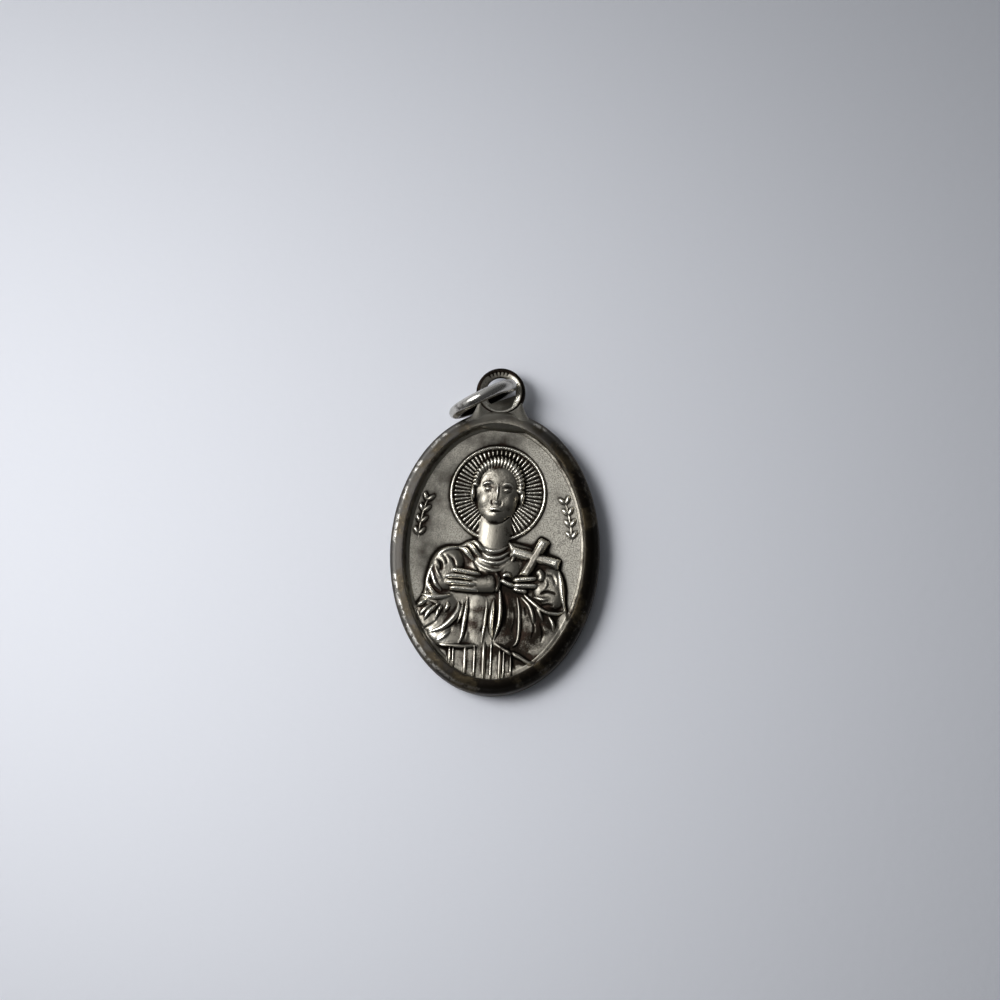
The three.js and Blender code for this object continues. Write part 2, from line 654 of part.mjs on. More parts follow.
function makeHead() {
  const forms = HEAD_MASSES.map(({ across, up, width, length, rise }) =>
    dome({
      middle: inHead([across, up]),
      width: width * HEAD_HALF_WIDTH,
      length: length * HEAD_HALF_HEIGHT,
      turn: THREE.MathUtils.radToDeg(HEAD_TILT),
      rise,
      sides: width > 1 ? 16 : 8,
    }),
  );
  for (const { width, from, rise, path } of FACE_RIDGES) {
    forms.push(ridge({ points: path.map(inHead), width: width * FOLD_WIDTH, from, rise, steps: 6 }));
  }
  for (let i = 0; i < HAIR_LOCKS; i++) {
    const angle = THREE.MathUtils.lerp(HAIR_LOCK_START, HAIR_LOCK_END, i / (HAIR_LOCKS - 1));
    const across = Math.cos(angle);
    const up = Math.sin(angle);
    const points = [
      [across * 0.66, 0.1 + up * 0.5],
      [across * 0.8 + up * 0.06, 0.1 + up * 0.68 - across * 0.06],
      [across * 0.93 + up * 0.02, 0.1 + up * 0.85 - across * 0.02],
    ].map(inHead);
    forms.push(ridge({ points, width: FOLD_WIDTH * 0.75, from: 0.5, rise: 0.79, steps: 5 }));
  }
  return forms;
}

// A small sprig of paired leaves on each side of the halo, following the rim.
function makeSprig(side) {
  const stemPoint = (share) => {
    const angle = THREE.MathUtils.degToRad(THREE.MathUtils.lerp(5, 29, share));
    return new THREE.Vector2(
      side * (OVAL_WIDTH / 2 - SPRIG_INSET) * Math.cos(angle),
      (OVAL_LENGTH / 2 - SPRIG_INSET) * Math.sin(angle),
    );
  };
  const stem = [0, 0.33, 0.67, 1].map(stemPoint);
  const forms = [ridge({ points: stem, width: LEAF_WIDTH * 0.5, from: 0, rise: 0.12 })];
  for (let pair = 0; pair < LEAF_PAIRS; pair++) {
    const share = (pair + 0.5) / LEAF_PAIRS;
    const middle = stemPoint(share);
    const heading = stemPoint(share + 0.05).sub(stemPoint(share - 0.05)).angle();
    for (const hand of [-1, 1]) {
      const leaf = heading + hand * THREE.MathUtils.degToRad(38);
      const reach = LEAF_LENGTH * 0.5;
      forms.push(
        dome({
          middle: new THREE.Vector2(middle.x + reach * Math.cos(leaf), middle.y + reach * Math.sin(leaf)),
          width: LEAF_LENGTH,
          length: LEAF_WIDTH,
          turn: THREE.MathUtils.radToDeg(leaf),
          rise: 0.2,
          sides: 8,
        }),
      );
    }
  }
  return forms;
}

function makeMedal() {
  const relief = [
    ...makeHalo(),
    ...makeRobe(),
    ...makeCross(),
    ...makeHands(),
    ...makeHead(),
    ...makeSprig(-1),
    ...makeSprig(1),
  ];
  const insideRim = ovalSolid([
    { inset: RIM_WIDTH * 0.85, height: FIELD_TOP - 0.2 },
    { inset: RIM_WIDTH * 0.85, height: FIELD_TOP + 2 * RELIEF_HEIGHT },
  ]);
  const figure = wasm.Manifold.union(relief).intersect(insideRim);
  const joined = makeOval().add(figure).add(makeEye()).simplify(0.01);
  const medal = outerShell(joined);
  const silver = new THREE.MeshStandardMaterial({ color: 0x8f8b84, metalness: 0.9, roughness: 0.42 });
  const mesh = new THREE.Mesh(geometryFrom(medal), silver);
  mesh.name = "medal";
  return mesh;
}

function makeJumpRing() {
  const middleRadius = (RING_DIAMETER - RING_WIRE) / 2;
  const wire = new THREE.TorusGeometry(middleRadius, RING_WIRE / 2, WIRE_SIDES, RING_STEPS);
  const brightSilver = new THREE.MeshStandardMaterial({ color: 0x8a8781, metalness: 0.95, roughness: 0.32 });
  const mesh = new THREE.Mesh(wire, brightSilver);
  mesh.name = "jump_ring";
  mesh.rotation.x = Math.PI / 2 + RING_LEAN;
  return mesh;
}

// The medal lies flat on its back. The ring stands on the table, passes under the eye and leans in it,
// so that its plane runs through the middle of the eye's hole.
const ringUp = RING_WIRE / 2 + ((RING_DIAMETER - RING_WIRE) / 2) * Math.cos(RING_LEAN);
const offMiddle = (ringUp - EYE_HEIGHT) * Math.tan(RING_LEAN);
const standing = new THREE.Group();
standing.rotation.z = RING_TURN;
standing.position.set(-RING_SHIFT, -offMiddle, 0).applyAxisAngle(new THREE.Vector3(0, 0, 1), RING_TURN);
standing.position.add(new THREE.Vector3(0, EYE_UP, ringUp));
standing.add(makeJumpRing());

const pendant = new THREE.Group();
pendant.add(makeMedal(), standing);

// The origin is on the table under the middle of the whole.
const box = new THREE.Box3().setFromObject(pendant, true);
pendant.children.forEach((child) => {
  child.position.x -= (box.min.x + box.max.x) / 2;
  child.position.y -= (box.min.y + box.max.y) / 2;
  child.position.z -= box.min.z;
});

export default pendant;
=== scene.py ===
import math

import bpy
import numpy as np
from mathutils import Matrix, Vector


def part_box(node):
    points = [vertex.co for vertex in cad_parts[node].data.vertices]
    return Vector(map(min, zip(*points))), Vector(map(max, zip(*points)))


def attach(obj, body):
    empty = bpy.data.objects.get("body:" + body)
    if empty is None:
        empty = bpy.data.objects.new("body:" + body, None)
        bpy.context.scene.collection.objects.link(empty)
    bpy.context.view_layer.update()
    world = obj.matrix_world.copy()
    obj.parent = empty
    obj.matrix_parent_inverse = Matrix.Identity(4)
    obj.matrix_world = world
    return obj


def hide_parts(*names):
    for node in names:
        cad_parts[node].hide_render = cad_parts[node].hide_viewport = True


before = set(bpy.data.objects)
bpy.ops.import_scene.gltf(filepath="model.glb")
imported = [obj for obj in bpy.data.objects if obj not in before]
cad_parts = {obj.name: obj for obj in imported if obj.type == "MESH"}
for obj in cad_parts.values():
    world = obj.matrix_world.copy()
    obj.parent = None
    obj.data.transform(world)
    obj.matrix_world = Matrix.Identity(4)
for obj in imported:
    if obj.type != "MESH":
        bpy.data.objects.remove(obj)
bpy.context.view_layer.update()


# The oval medal.
# The real one is a zinc alloy casting, struck and silver plated, then darkened so that the hollows stay
# black and the high places are rubbed bright. Body, rim, figure, eye and neck are one piece of metal.

MM = 0.001

OVAL_WIDTH = 16.1
OVAL_LENGTH = 22.0
RIM_THICKNESS = 2.3
RIM_WIDTH = 1.23
RIM_STEP_WIDTH = 0.19
RIM_STEP_HEIGHT = 0.08
RIM_ROUNDING = 0.4
RIM_FALL = 0.75  # from the crown near the inner edge to the outer side
FRONT_RECESS = 0.7
BACK_RECESS = 0.3
RELIEF_HEIGHT = 0.9
FOLD_WIDTH = 0.42
FIELD_HALF_WIDTH = OVAL_WIDTH / 2 - RIM_WIDTH
FIELD_HALF_LENGTH = OVAL_LENGTH / 2 - RIM_WIDTH
FIELD_TOP = RIM_THICKNESS - FRONT_RECESS
FIELD_EDGE_INSET = RIM_WIDTH + 1.4 * RIM_STEP_WIDTH
FIELD_DISH = 0.22
GRID = 248  # points along each side of the square grid that makes the face

# In these tables across and up are shares of the field's half width and half length from its middle.
# From and rise are shares of the relief's height above the field, and turns are degrees anticlockwise.
ROBE_OUTLINE = [
    (-0.17, 0.1), (-0.29, 0.09), (-0.38, 0.055), (-0.55, 0.02), (-0.65, -0.03), (-0.71, -0.12),
    (-0.75, -0.22), (-0.79, -0.35), (-0.87, -0.45), (-0.8, -0.56), (-0.7, -0.65), (-0.6, -0.73),
    (-0.49, -0.77), (-0.49, -0.93), (0, -1.04), (0.5, -0.95), (0.9, -0.6), (0.84, -0.45),
    (0.79, -0.33), (0.75, -0.2), (0.7, -0.1), (0.56, 0), (0.4, 0.05), (0.17, 0.09),
]

# part, across, up, width, length, turn, rise
BODY_MASSES = [
    ("chest", 0, -0.13, 0.62, 0.3, 0, 0.5),
    ("left upper arm", -0.53, -0.14, 0.4, 0.37, -14, 0.66),
    ("left sleeve", -0.61, -0.48, 0.5, 0.36, -10, 0.48),
    ("left sleeve hem", -0.48, -0.64, 0.52, 0.26, -16, 0.44),
    ("front panel", -0.15, -0.53, 0.3, 0.46, 0, 0.37),
    ("right forearm", 0.62, -0.27, 0.38, 0.42, 14, 0.66),
    ("right sleeve", 0.49, -0.58, 0.56, 0.6, 12, 0.44),
]

# part, width as a share of FOLD_WIDTH, from, rise, path
CLOTH_FOLDS = [
    ("cowl left outer", 1.1, 0.3, 0.6, [(-0.4, 0.03), (-0.33, 0.01), (-0.28, -0.03), (-0.2, -0.09)]),
    ("cowl left middle", 1, 0.3, 0.66, [(-0.33, 0.07), (-0.26, 0.04), (-0.2, -0.01), (-0.12, -0.05)]),
    ("cowl left inner", 0.9, 0.3, 0.68, [(-0.26, 0.09), (-0.2, 0.06), (-0.14, 0.02), (-0.06, 0)]),
    ("cowl top", 0.9, 0.3, 0.62, [(-0.17, 0.055), (-0.07, 0.01), (0.05, 0.005), (0.16, 0.05)]),
    ("cowl front upper", 1, 0.3, 0.66, [(-0.15, 0), (-0.06, -0.045), (0.06, -0.045), (0.18, 0.01)]),
    ("cowl front middle", 1, 0.3, 0.66, [(-0.2, -0.04), (-0.08, -0.08), (0.07, -0.085), (0.2, -0.03)]),
    ("cowl front lower", 1.1, 0.3, 0.64, [(-0.24, -0.07), (-0.1, -0.13), (0.04, -0.15), (0.17, -0.1)]),
    ("cowl point", 1, 0.3, 0.58, [(-0.2, -0.1), (-0.08, -0.17), (0.05, -0.225), (0.16, -0.17)]),
    ("cowl right", 1, 0.3, 0.56, [(0.16, 0.08), (0.2, 0.03), (0.22, -0.03), (0.19, -0.09)]),
    ("shoulder edge", 1, 0.3, 0.62, [(-0.38, 0.03), (-0.5, 0.015), (-0.6, -0.02), (-0.68, -0.09)]),
    ("arm edge", 0.9, 0.3, 0.62, [(-0.62, -0.05), (-0.69, -0.13), (-0.735, -0.23), (-0.755, -0.33)]),
    ("upper arm outer", 0.9, 0.45, 0.7, [(-0.7, -0.13), (-0.68, -0.2), (-0.64, -0.27), (-0.58, -0.32)]),
    ("upper arm middle", 0.8, 0.45, 0.72, [(-0.66, -0.09), (-0.64, -0.16), (-0.59, -0.22), (-0.54, -0.26)]),
    ("elbow", 0.9, 0.35, 0.62, [(-0.75, -0.23), (-0.72, -0.29), (-0.66, -0.34), (-0.58, -0.36)]),
    ("sleeve top", 1.1, 0.3, 0.64, [(-0.8, -0.35), (-0.7, -0.37), (-0.58, -0.37), (-0.46, -0.35)]),
    ("sleeve outer upper", 1, 0.3, 0.66, [(-0.72, -0.39), (-0.79, -0.42), (-0.85, -0.45)]),
    ("sleeve outer lower", 1, 0.3, 0.64, [(-0.66, -0.42), (-0.75, -0.47), (-0.82, -0.52)]),
    ("sleeve diagonal", 0.9, 0.45, 0.74, [(-0.58, -0.41), (-0.66, -0.46), (-0.72, -0.5), (-0.76, -0.56)]),
    ("sleeve short", 0.8, 0.45, 0.74, [(-0.56, -0.43), (-0.6, -0.48), (-0.64, -0.56)]),
    ("sleeve inner", 0.8, 0.45, 0.72, [(-0.5, -0.4), (-0.5, -0.44), (-0.54, -0.49)]),
    (
        "sleeve crescent", 1.3, 0.35, 0.76,
        [(-0.38, -0.4), (-0.38, -0.47), (-0.44, -0.54), (-0.55, -0.61), (-0.7, -0.65)],
    ),
    ("sleeve hem", 1.4, 0.25, 0.62, [(-0.44, -0.6), (-0.52, -0.66), (-0.62, -0.72)]),
    ("sleeve hem edge", 0.9, 0.25, 0.52, [(-0.58, -0.745), (-0.45, -0.75), (-0.3, -0.755), (-0.12, -0.74)]),
    (
        "long left", 0.9, 0.3, 0.7,
        [(-0.28, -0.36), (-0.29, -0.45), (-0.31, -0.56), (-0.33, -0.67), (-0.37, -0.74)],
    ),
    ("long left twin", 0.6, 0.3, 0.62, [(-0.33, -0.41), (-0.35, -0.5), (-0.39, -0.58)]),
    ("panel edge", 0.7, 0.3, 0.58, [(-0.06, -0.38), (-0.07, -0.5), (-0.09, -0.62), (-0.1, -0.72)]),
    ("centre drop left", 1.05, 0.25, 0.88, [(0.015, -0.37), (0.005, -0.47), (-0.005, -0.58), (0.01, -0.7)]),
    ("centre drop right", 1, 0.25, 0.9, [(0.065, -0.25), (0.09, -0.4), (0.085, -0.56), (0.03, -0.7)]),
    ("forearm edge", 0.9, 0.3, 0.66, [(0.73, -0.13), (0.76, -0.22), (0.78, -0.33), (0.82, -0.46)]),
    (
        "forearm lower edge", 1, 0.3, 0.7,
        [(0.32, -0.31), (0.44, -0.39), (0.58, -0.46), (0.72, -0.48), (0.81, -0.46)],
    ),
    ("forearm crease", 0.7, 0.45, 0.74, [(0.46, -0.35), (0.57, -0.37), (0.68, -0.36)]),
    ("cuff", 0.9, 0.45, 0.76, [(0.58, -0.19), (0.6, -0.25), (0.55, -0.31)]),
    (
        "right sleeve inner", 0.9, 0.25, 0.62,
        [(0.27, -0.34), (0.3, -0.45), (0.31, -0.6), (0.29, -0.71), (0.23, -0.75)],
    ),
    ("right sleeve second", 0.9, 0.35, 0.66, [(0.32, -0.35), (0.42, -0.43), (0.46, -0.51), (0.47, -0.58)]),
    ("right sleeve third", 0.9, 0.35, 0.66, [(0.48, -0.42), (0.53, -0.47), (0.58, -0.55)]),
    ("right sleeve fourth", 0.8, 0.35, 0.62, [(0.62, -0.48), (0.68, -0.55), (0.7, -0.62)]),
    (
        "right sleeve hem", 1.1, 0.2, 0.56,
        [(0.02, -0.71), (0.14, -0.77), (0.3, -0.82), (0.44, -0.87), (0.55, -0.88)],
    ),
]

# across, top, foot, width as a share of FOLD_WIDTH
SKIRT_PLEATS = [
    (-0.46, -0.79, -0.9, 0.45),
    (-0.42, -0.79, -0.92, 0.4),
    (-0.285, -0.78, -0.97, 0.75),
    (-0.18, -0.78, -0.98, 0.5),
    (-0.075, -0.75, -1, 0.85),
    (0.005, -0.74, -1, 0.45),
    (0.105, -0.78, -1, 0.75),
    (0.15, -0.79, -0.99, 0.45),
    (0.23, -0.84, -0.98, 0.5),
]

# part, width as a share of FOLD_WIDTH, from, rise, path
HAND_FORMS = [
    ("back of left hand", 3.6, 0.3, 0.78, [(-0.26, -0.24), (-0.1, -0.25), (0.06, -0.24)]),
    ("left first finger", 1.05, 0.4, 0.86, [(-0.48, -0.15), (-0.32, -0.165), (-0.13, -0.19)]),
    ("left second finger", 1.05, 0.4, 0.88, [(-0.56, -0.205), (-0.38, -0.205), (-0.15, -0.23)]),
    ("left third finger", 1.05, 0.4, 0.86, [(-0.55, -0.25), (-0.37, -0.255), (-0.15, -0.27)]),
    ("left fourth finger", 0.95, 0.4, 0.8, [(-0.49, -0.295), (-0.34, -0.3), (-0.15, -0.31)]),
    ("left cuff", 1.1, 0.3, 0.72, [(0.02, -0.16), (0.06, -0.23), (0.04, -0.32)]),
    ("right thumb", 0.9, 0.3, 0.74, [(0.1, -0.2), (0.15, -0.18), (0.2, -0.19)]),
    ("right first finger", 1, 0.3, 0.78, [(0.08, -0.22), (0.16, -0.25), (0.24, -0.27)]),
    ("right second finger", 1.1, 0.35, 0.86, [(0.22, -0.225), (0.35, -0.215), (0.5, -0.205)]),
    ("right third finger", 1.1, 0.35, 0.84, [(0.22, -0.265), (0.36, -0.265), (0.51, -0.265)]),
    ("right fourth finger", 0.9, 0.3, 0.76, [(0.22, -0.29), (0.31, -0.305), (0.39, -0.31)]),
    ("right knuckles", 1.6, 0.4, 0.82, [(0.49, -0.14), (0.54, -0.18), (0.53, -0.23)]),
]

CROSS_BAR_WIDTH = 0.8

# part, foot, head, rise
CROSS_BARS = [
    ("shaft", (0.345, -0.19), (0.565, 0.105), 0.72),
    ("bar", (0.19, 0.01), (0.735, -0.09), 0.72),
]

# The head is drawn by itself, in shares of its half width and half height, and leans a little to one side.
HEAD_ACROSS = 0.1
HEAD_UP = 4.8
HEAD_HALF_WIDTH = 2.2
HEAD_HALF_HEIGHT = 2.8
HEAD_TILT = math.radians(-3.5)

# part, across, up, width, length, rise
HEAD_MASSES = [
    ("neck", 0.02, -1.2, 1.2, 2.1, 0.56),
    ("hair", 0, 0.2, 1.92, 1.58, 0.7),
    ("skull", 0, 0.14, 1.68, 1.66, 0.8),
    ("face", 0, -0.22, 1.46, 1.54, 0.86),
    ("beard", 0, -0.72, 0.96, 0.52, 0.84),
    ("left cheek", -0.38, -0.28, 0.66, 0.66, 0.79),
    ("right cheek", 0.38, -0.28, 0.66, 0.66, 0.79),
    ("left ear", -0.87, -0.12, 0.2, 0.5, 0.64),
    ("right ear", 0.87, -0.12, 0.2, 0.5, 0.64),
    ("left eye", -0.33, 0, 0.36, 0.13, 0.87),
    ("right eye", 0.33, 0, 0.36, 0.13, 0.87),
    ("tip of nose", 0, -0.36, 0.28, 0.16, 1),
]

# part, width as a share of FOLD_WIDTH, from, rise, path
FACE_RIDGES = [
    ("bridge of nose", 0.7, 0.7, 0.97, [(0, 0.2), (0, 0.02), (0, -0.2), (0, -0.4)]),
    ("left brow", 0.55, 0.65, 0.88, [(-0.58, 0.08), (-0.42, 0.16), (-0.24, 0.16), (-0.08, 0.1)]),
    ("right brow", 0.55, 0.65, 0.88, [(0.58, 0.08), (0.42, 0.16), (0.24, 0.16), (0.08, 0.1)]),
    ("upper lip", 0.45, 0.7, 0.9, [(-0.26, -0.58), (-0.1, -0.55), (0.1, -0.55), (0.26, -0.58)]),
    ("lower lip", 0.5, 0.7, 0.9, [(-0.2, -0.635), (-0.07, -0.665), (0.07, -0.665), (0.2, -0.635)]),
]

# Short locks of cropped hair fan out over the head from one ear over the crown to the other.
HAIR_LOCKS = 23
STRANDS_PER_LOCK = 3
HAIR_START = math.radians(-4)
HAIR_END = math.radians(184)
HAIR_MIDDLE_UP = 0.1

# Lines of the face too fine for the solid, in shares of the head: width, depth, path
FACE_LINES = [
    (0.09, 0.07, [(-0.54, 0.02), (-0.35, 0.085), (-0.15, 0.03)]),
    (0.09, 0.07, [(0.54, 0.02), (0.35, 0.085), (0.15, 0.03)]),
    (0.08, 0.05, [(-0.52, -0.02), (-0.34, -0.085), (-0.16, -0.04)]),
    (0.08, 0.05, [(0.52, -0.02), (0.34, -0.085), (0.16, -0.04)]),
    (0.08, 0.08, [(-0.28, -0.6), (0, -0.605), (0.28, -0.6)]),
    (0.1, 0.07, [(-0.16, -0.3), (-0.17, -0.4), (-0.06, -0.45)]),
    (0.1, 0.07, [(0.16, -0.3), (0.17, -0.4), (0.06, -0.45)]),
]
BEARD_STRANDS = 22
BEARD_UP = -0.62
BEARD_PATH = [(0.5, -0.12), (0.48, -0.24), (0.38, -0.36)]

# Creases too fine for the solid, in millimetres from the middle of the oval: width, depth, path
FINE_CREASES = [
    (0.16, 0.09, [(-0.6, -5.4), (-0.68, -5.8), (-0.8, -6.2)]),
    (0.14, 0.08, [(2.45, -4.2), (2.55, -4.5), (2.6, -4.9)]),
    (0.16, 0.09, [(3.7, -4.15), (4.2, -4.0), (4.7, -4.05)]),
    (0.16, 0.1, [(-3, -6), (-3.6, -6.45), (-4.3, -7.1)]),
    (0.16, 0.1, [(-1.6, -0.75), (-1.35, -1.15), (-1.1, -1.6)]),
    (0.2, 0.12, [(1.4, -7.3), (1.7, -8.1), (1.9, -9)]),
    (0.14, 0.08, [(3.1, -5.2), (3.25, -5.9), (3.1, -6.6)]),
    (0.14, 0.07, [(3.7, -5.4), (3.95, -6.1), (3.8, -6.9)]),
    (0.14, 0.08, [(-4.9, -3.9), (-4.3, -4.3), (-3.9, -4.9)]),
    (0.14, 0.08, [(-4.2, -5.5), (-4.8, -5.9), (-5.2, -6.1)]),
    (0.14, 0.07, [(-1.9, -5), (-1.95, -5.9), (-2.05, -6.8)]),
    (0.14, 0.08, [(0.9, -3.2), (1.1, -4.4), (1.05, -5.6)]),
    (0.14, 0.07, [(1.7, -4.2), (1.75, -5.2), (1.6, -6.2)]),
    (0.12, 0.06, [(-4.35, 1.3), (-3.95, 1.1), (-3.6, 0.9)]),
    (0.24, 0.14, [(-4.4, -0.6), (-4.05, -1.05), (-3.95, -1.6)]),
    (0.2, 0.12, [(-3.6, -0.35), (-3.15, -0.7), (-2.9, -1.25)]),
    (0.18, 0.1, [(-4, -0.3), (-3.7, -0.65), (-3.55, -1.1)]),
    (0.2, 0.1, [(4.1, -1.7), (4.6, -1.9), (4.8, -2.5)]),
    (0.2, 0.1, [(3.6, -3.2), (4.2, -3), (4.9, -3.2)]),
]

ROBE_RISE = 0.28
ROBE_EDGE = 0.16
HALO_RADIUS = 3.6
HALO_LINE = 0.26
HALO_LINE_HEIGHT = 0.22
HALO_CENTRE_UP = 4.55
RAY_COUNT = 60
RAY_WIDTH = 0.18
RAY_HEIGHT = 0.17
SPRIG_INSET = 2.1
SPRIG_FOOT = math.radians(5)
SPRIG_SPAN = math.radians(24)
LEAF_LENGTH = 0.72
LEAF_WIDTH = 0.34
LEAF_SPREAD = math.radians(38)
LEAF_PAIRS = 4


def in_field(path):
    """A path in shares of the field, in millimetres."""
    return [(across * FIELD_HALF_WIDTH, up * FIELD_HALF_LENGTH) for across, up in path]


def in_head(path):
    """A path in shares of the head, in millimetres."""
    out = []
    for across_share, up_share in path:
        across = across_share * HEAD_HALF_WIDTH
        up = up_share * HEAD_HALF_HEIGHT
        out.append((
            HEAD_ACROSS + across * math.cos(HEAD_TILT) - up * math.sin(HEAD_TILT),
            HEAD_UP + across * math.sin(HEAD_TILT) + up * math.cos(HEAD_TILT),
        ))
    return out


def hair_fan(count):
    """The directions of locks or strands, from one ear over the crown to the other."""
    for i in range(count):
        turn = HAIR_START + (HAIR_END - HAIR_START) * i / (count - 1)
        yield math.cos(turn), math.sin(turn)


def stem_point(side, share):
    """A point of a sprig's stem, which follows the rim."""
    turn = SPRIG_FOOT + SPRIG_SPAN * share
    return (
        side * (OVAL_WIDTH / 2 - SPRIG_INSET) * math.cos(turn),
        (OVAL_LENGTH / 2 - SPRIG_INSET) * math.sin(turn),
    )


class Relief:
    """The raised figure as a height in millimetres above the field at each of a set of points."""

    def __init__(self, x, y):
        self.x = x
        self.y = y
        self.height = np.zeros_like(x)

    def raise_to(self, inside, height, blend):
        """Raises the points inside a form to its height, with a fillet of about blend where they meet."""
        here = self.height[inside]
        near = np.clip(blend - np.abs(here - height), 0, None) / blend
        self.height[inside] = np.maximum(here, height) + near * near * blend * 0.25

    def dome(self, middle, width, length, turn, rise, blend=0.06, fullness=1):
        """Half an ellipsoid standing on the field, with a flatter top where it is fuller."""
        turned = math.radians(turn)
        dx = self.x - middle[0]
        dy = self.y - middle[1]
        along = (dx * math.cos(turned) + dy * math.sin(turned)) / (width / 2)
        aside = (dy * math.cos(turned) - dx * math.sin(turned)) / (length / 2)
        left = 1 - (along**2 + aside**2) ** fullness
        inside = left > 0
        self.raise_to(inside, rise * RELIEF_HEIGHT * np.sqrt(left[inside]), blend)

    def near_path(self, path, reach):
        """The points within reach of a smooth curve, how far off it they are and their share along it."""
        curve = smooth_curve(path)
        low = curve.min(axis=0) - reach
        high = curve.max(axis=0) + reach
        box = (self.x > low[0]) & (self.x < high[0]) & (self.y > low[1]) & (self.y < high[1])
        x = self.x[box]
        y = self.y[box]
        best = np.full(x.shape, 1e9)
        share = np.zeros(x.shape)
        pieces = len(curve) - 1
        for i in range(pieces):
            start = curve[i]
            step = curve[i + 1] - start
            place = ((x - start[0]) * step[0] + (y - start[1]) * step[1]) / max(step @ step, 1e-9)
            place = np.clip(place, 0, 1)
            away = np.hypot(x - start[0] - place * step[0], y - start[1] - place * step[1])
            closer = away < best
            best[closer] = away[closer]
            share[closer] = (i + place[closer]) / pieces
        return box, best, share

    def ridge(self, path, width, low, rise, blunt=False, blend=0.04):
        """A rounded ridge along a smooth curve, pointed or blunt at its ends."""
        box, away, share = self.near_path(path, width / 2)
        if blunt:
            swell = np.sqrt(np.clip(1 - (2 * share - 1) ** 6, 0, 1))
        else:
            swell = np.sin(math.pi * share) ** 0.7
        half = np.maximum(width / 2 * swell, 1e-6)
        hit = away < half
        inside = np.zeros(self.x.shape, bool)
        inside[box] = hit
        crest = np.sqrt(1 - (away[hit] / half[hit]) ** 2)
        height = (low + (rise - low) * swell[hit] * crest) * RELIEF_HEIGHT
        self.raise_to(inside, height, blend)

    def groove(self, path, width, depth):
        """A crease pressed along a smooth curve, fading out at its ends."""
        box, away, share = self.near_path(path, width * 1.6)
        fade = np.sin(math.pi * share) ** 0.6
        cut = depth * fade * np.exp(-((away / (width * 0.5)) ** 2))
        self.height[box] = np.maximum(self.height[box] - cut, 0)

    def bar(self, foot, head, width, rise):
        """A straight plate with bevelled edges."""
        foot = np.array(foot)
        along = np.array(head) - foot
        length = math.hypot(*along)
        along = along / length
        dx = self.x - foot[0]
        dy = self.y - foot[1]
        forward = dx * along[0] + dy * along[1]
        aside = dy * along[0] - dx * along[1]
        depth = np.minimum(np.minimum(forward, length - forward), width / 2 - np.abs(aside))
        inside = depth > 0
        bevel = width * 0.28
        drop = np.clip(bevel - depth[inside], 0, None)
        self.raise_to(inside, rise * RELIEF_HEIGHT - drop, 0.03)


def smooth_curve(path, spans=6):
    """Points along a Catmull-Rom curve through the path."""
    points = np.array(path, float)
    before = 2 * points[0] - points[1]
    after = 2 * points[-1] - points[-2]
    knots = np.vstack([before, points, after])
    out = []
    for i in range(len(points) - 1):
        a, b, c, d = knots[i : i + 4]
        squared = 2 * a - 5 * b + 4 * c - d
        cubed = 3 * b - a - 3 * c + d
        for t in np.linspace(0, 1, spans, endpoint=False):
            out.append(0.5 * (2 * b + (c - a) * t + squared * t**2 + cubed * t**3))
    out.append(points[-1])
    return np.array(out)


def distance_inside(x, y, outline):
    """How far inside a closed outline each point is: negative outside."""
    away = np.full(x.shape, 1e9)
    inside = np.zeros(x.shape, bool)
    for (ax, ay), (bx, by) in zip(outline, np.roll(outline, -1, axis=0)):
        sx = bx - ax
        sy = by - ay
        place = np.clip(((x - ax) * sx + (y - ay) * sy) / (sx * sx + sy * sy), 0, 1)
        away = np.minimum(away, np.hypot(x - ax - place * sx, y - ay - place * sy))
        crosses = (ay > y) != (by > y)
        inside ^= crosses & (x < ax + (y - ay) * sx / (sy if sy else 1e-9))
    return np.where(inside, away, -away)


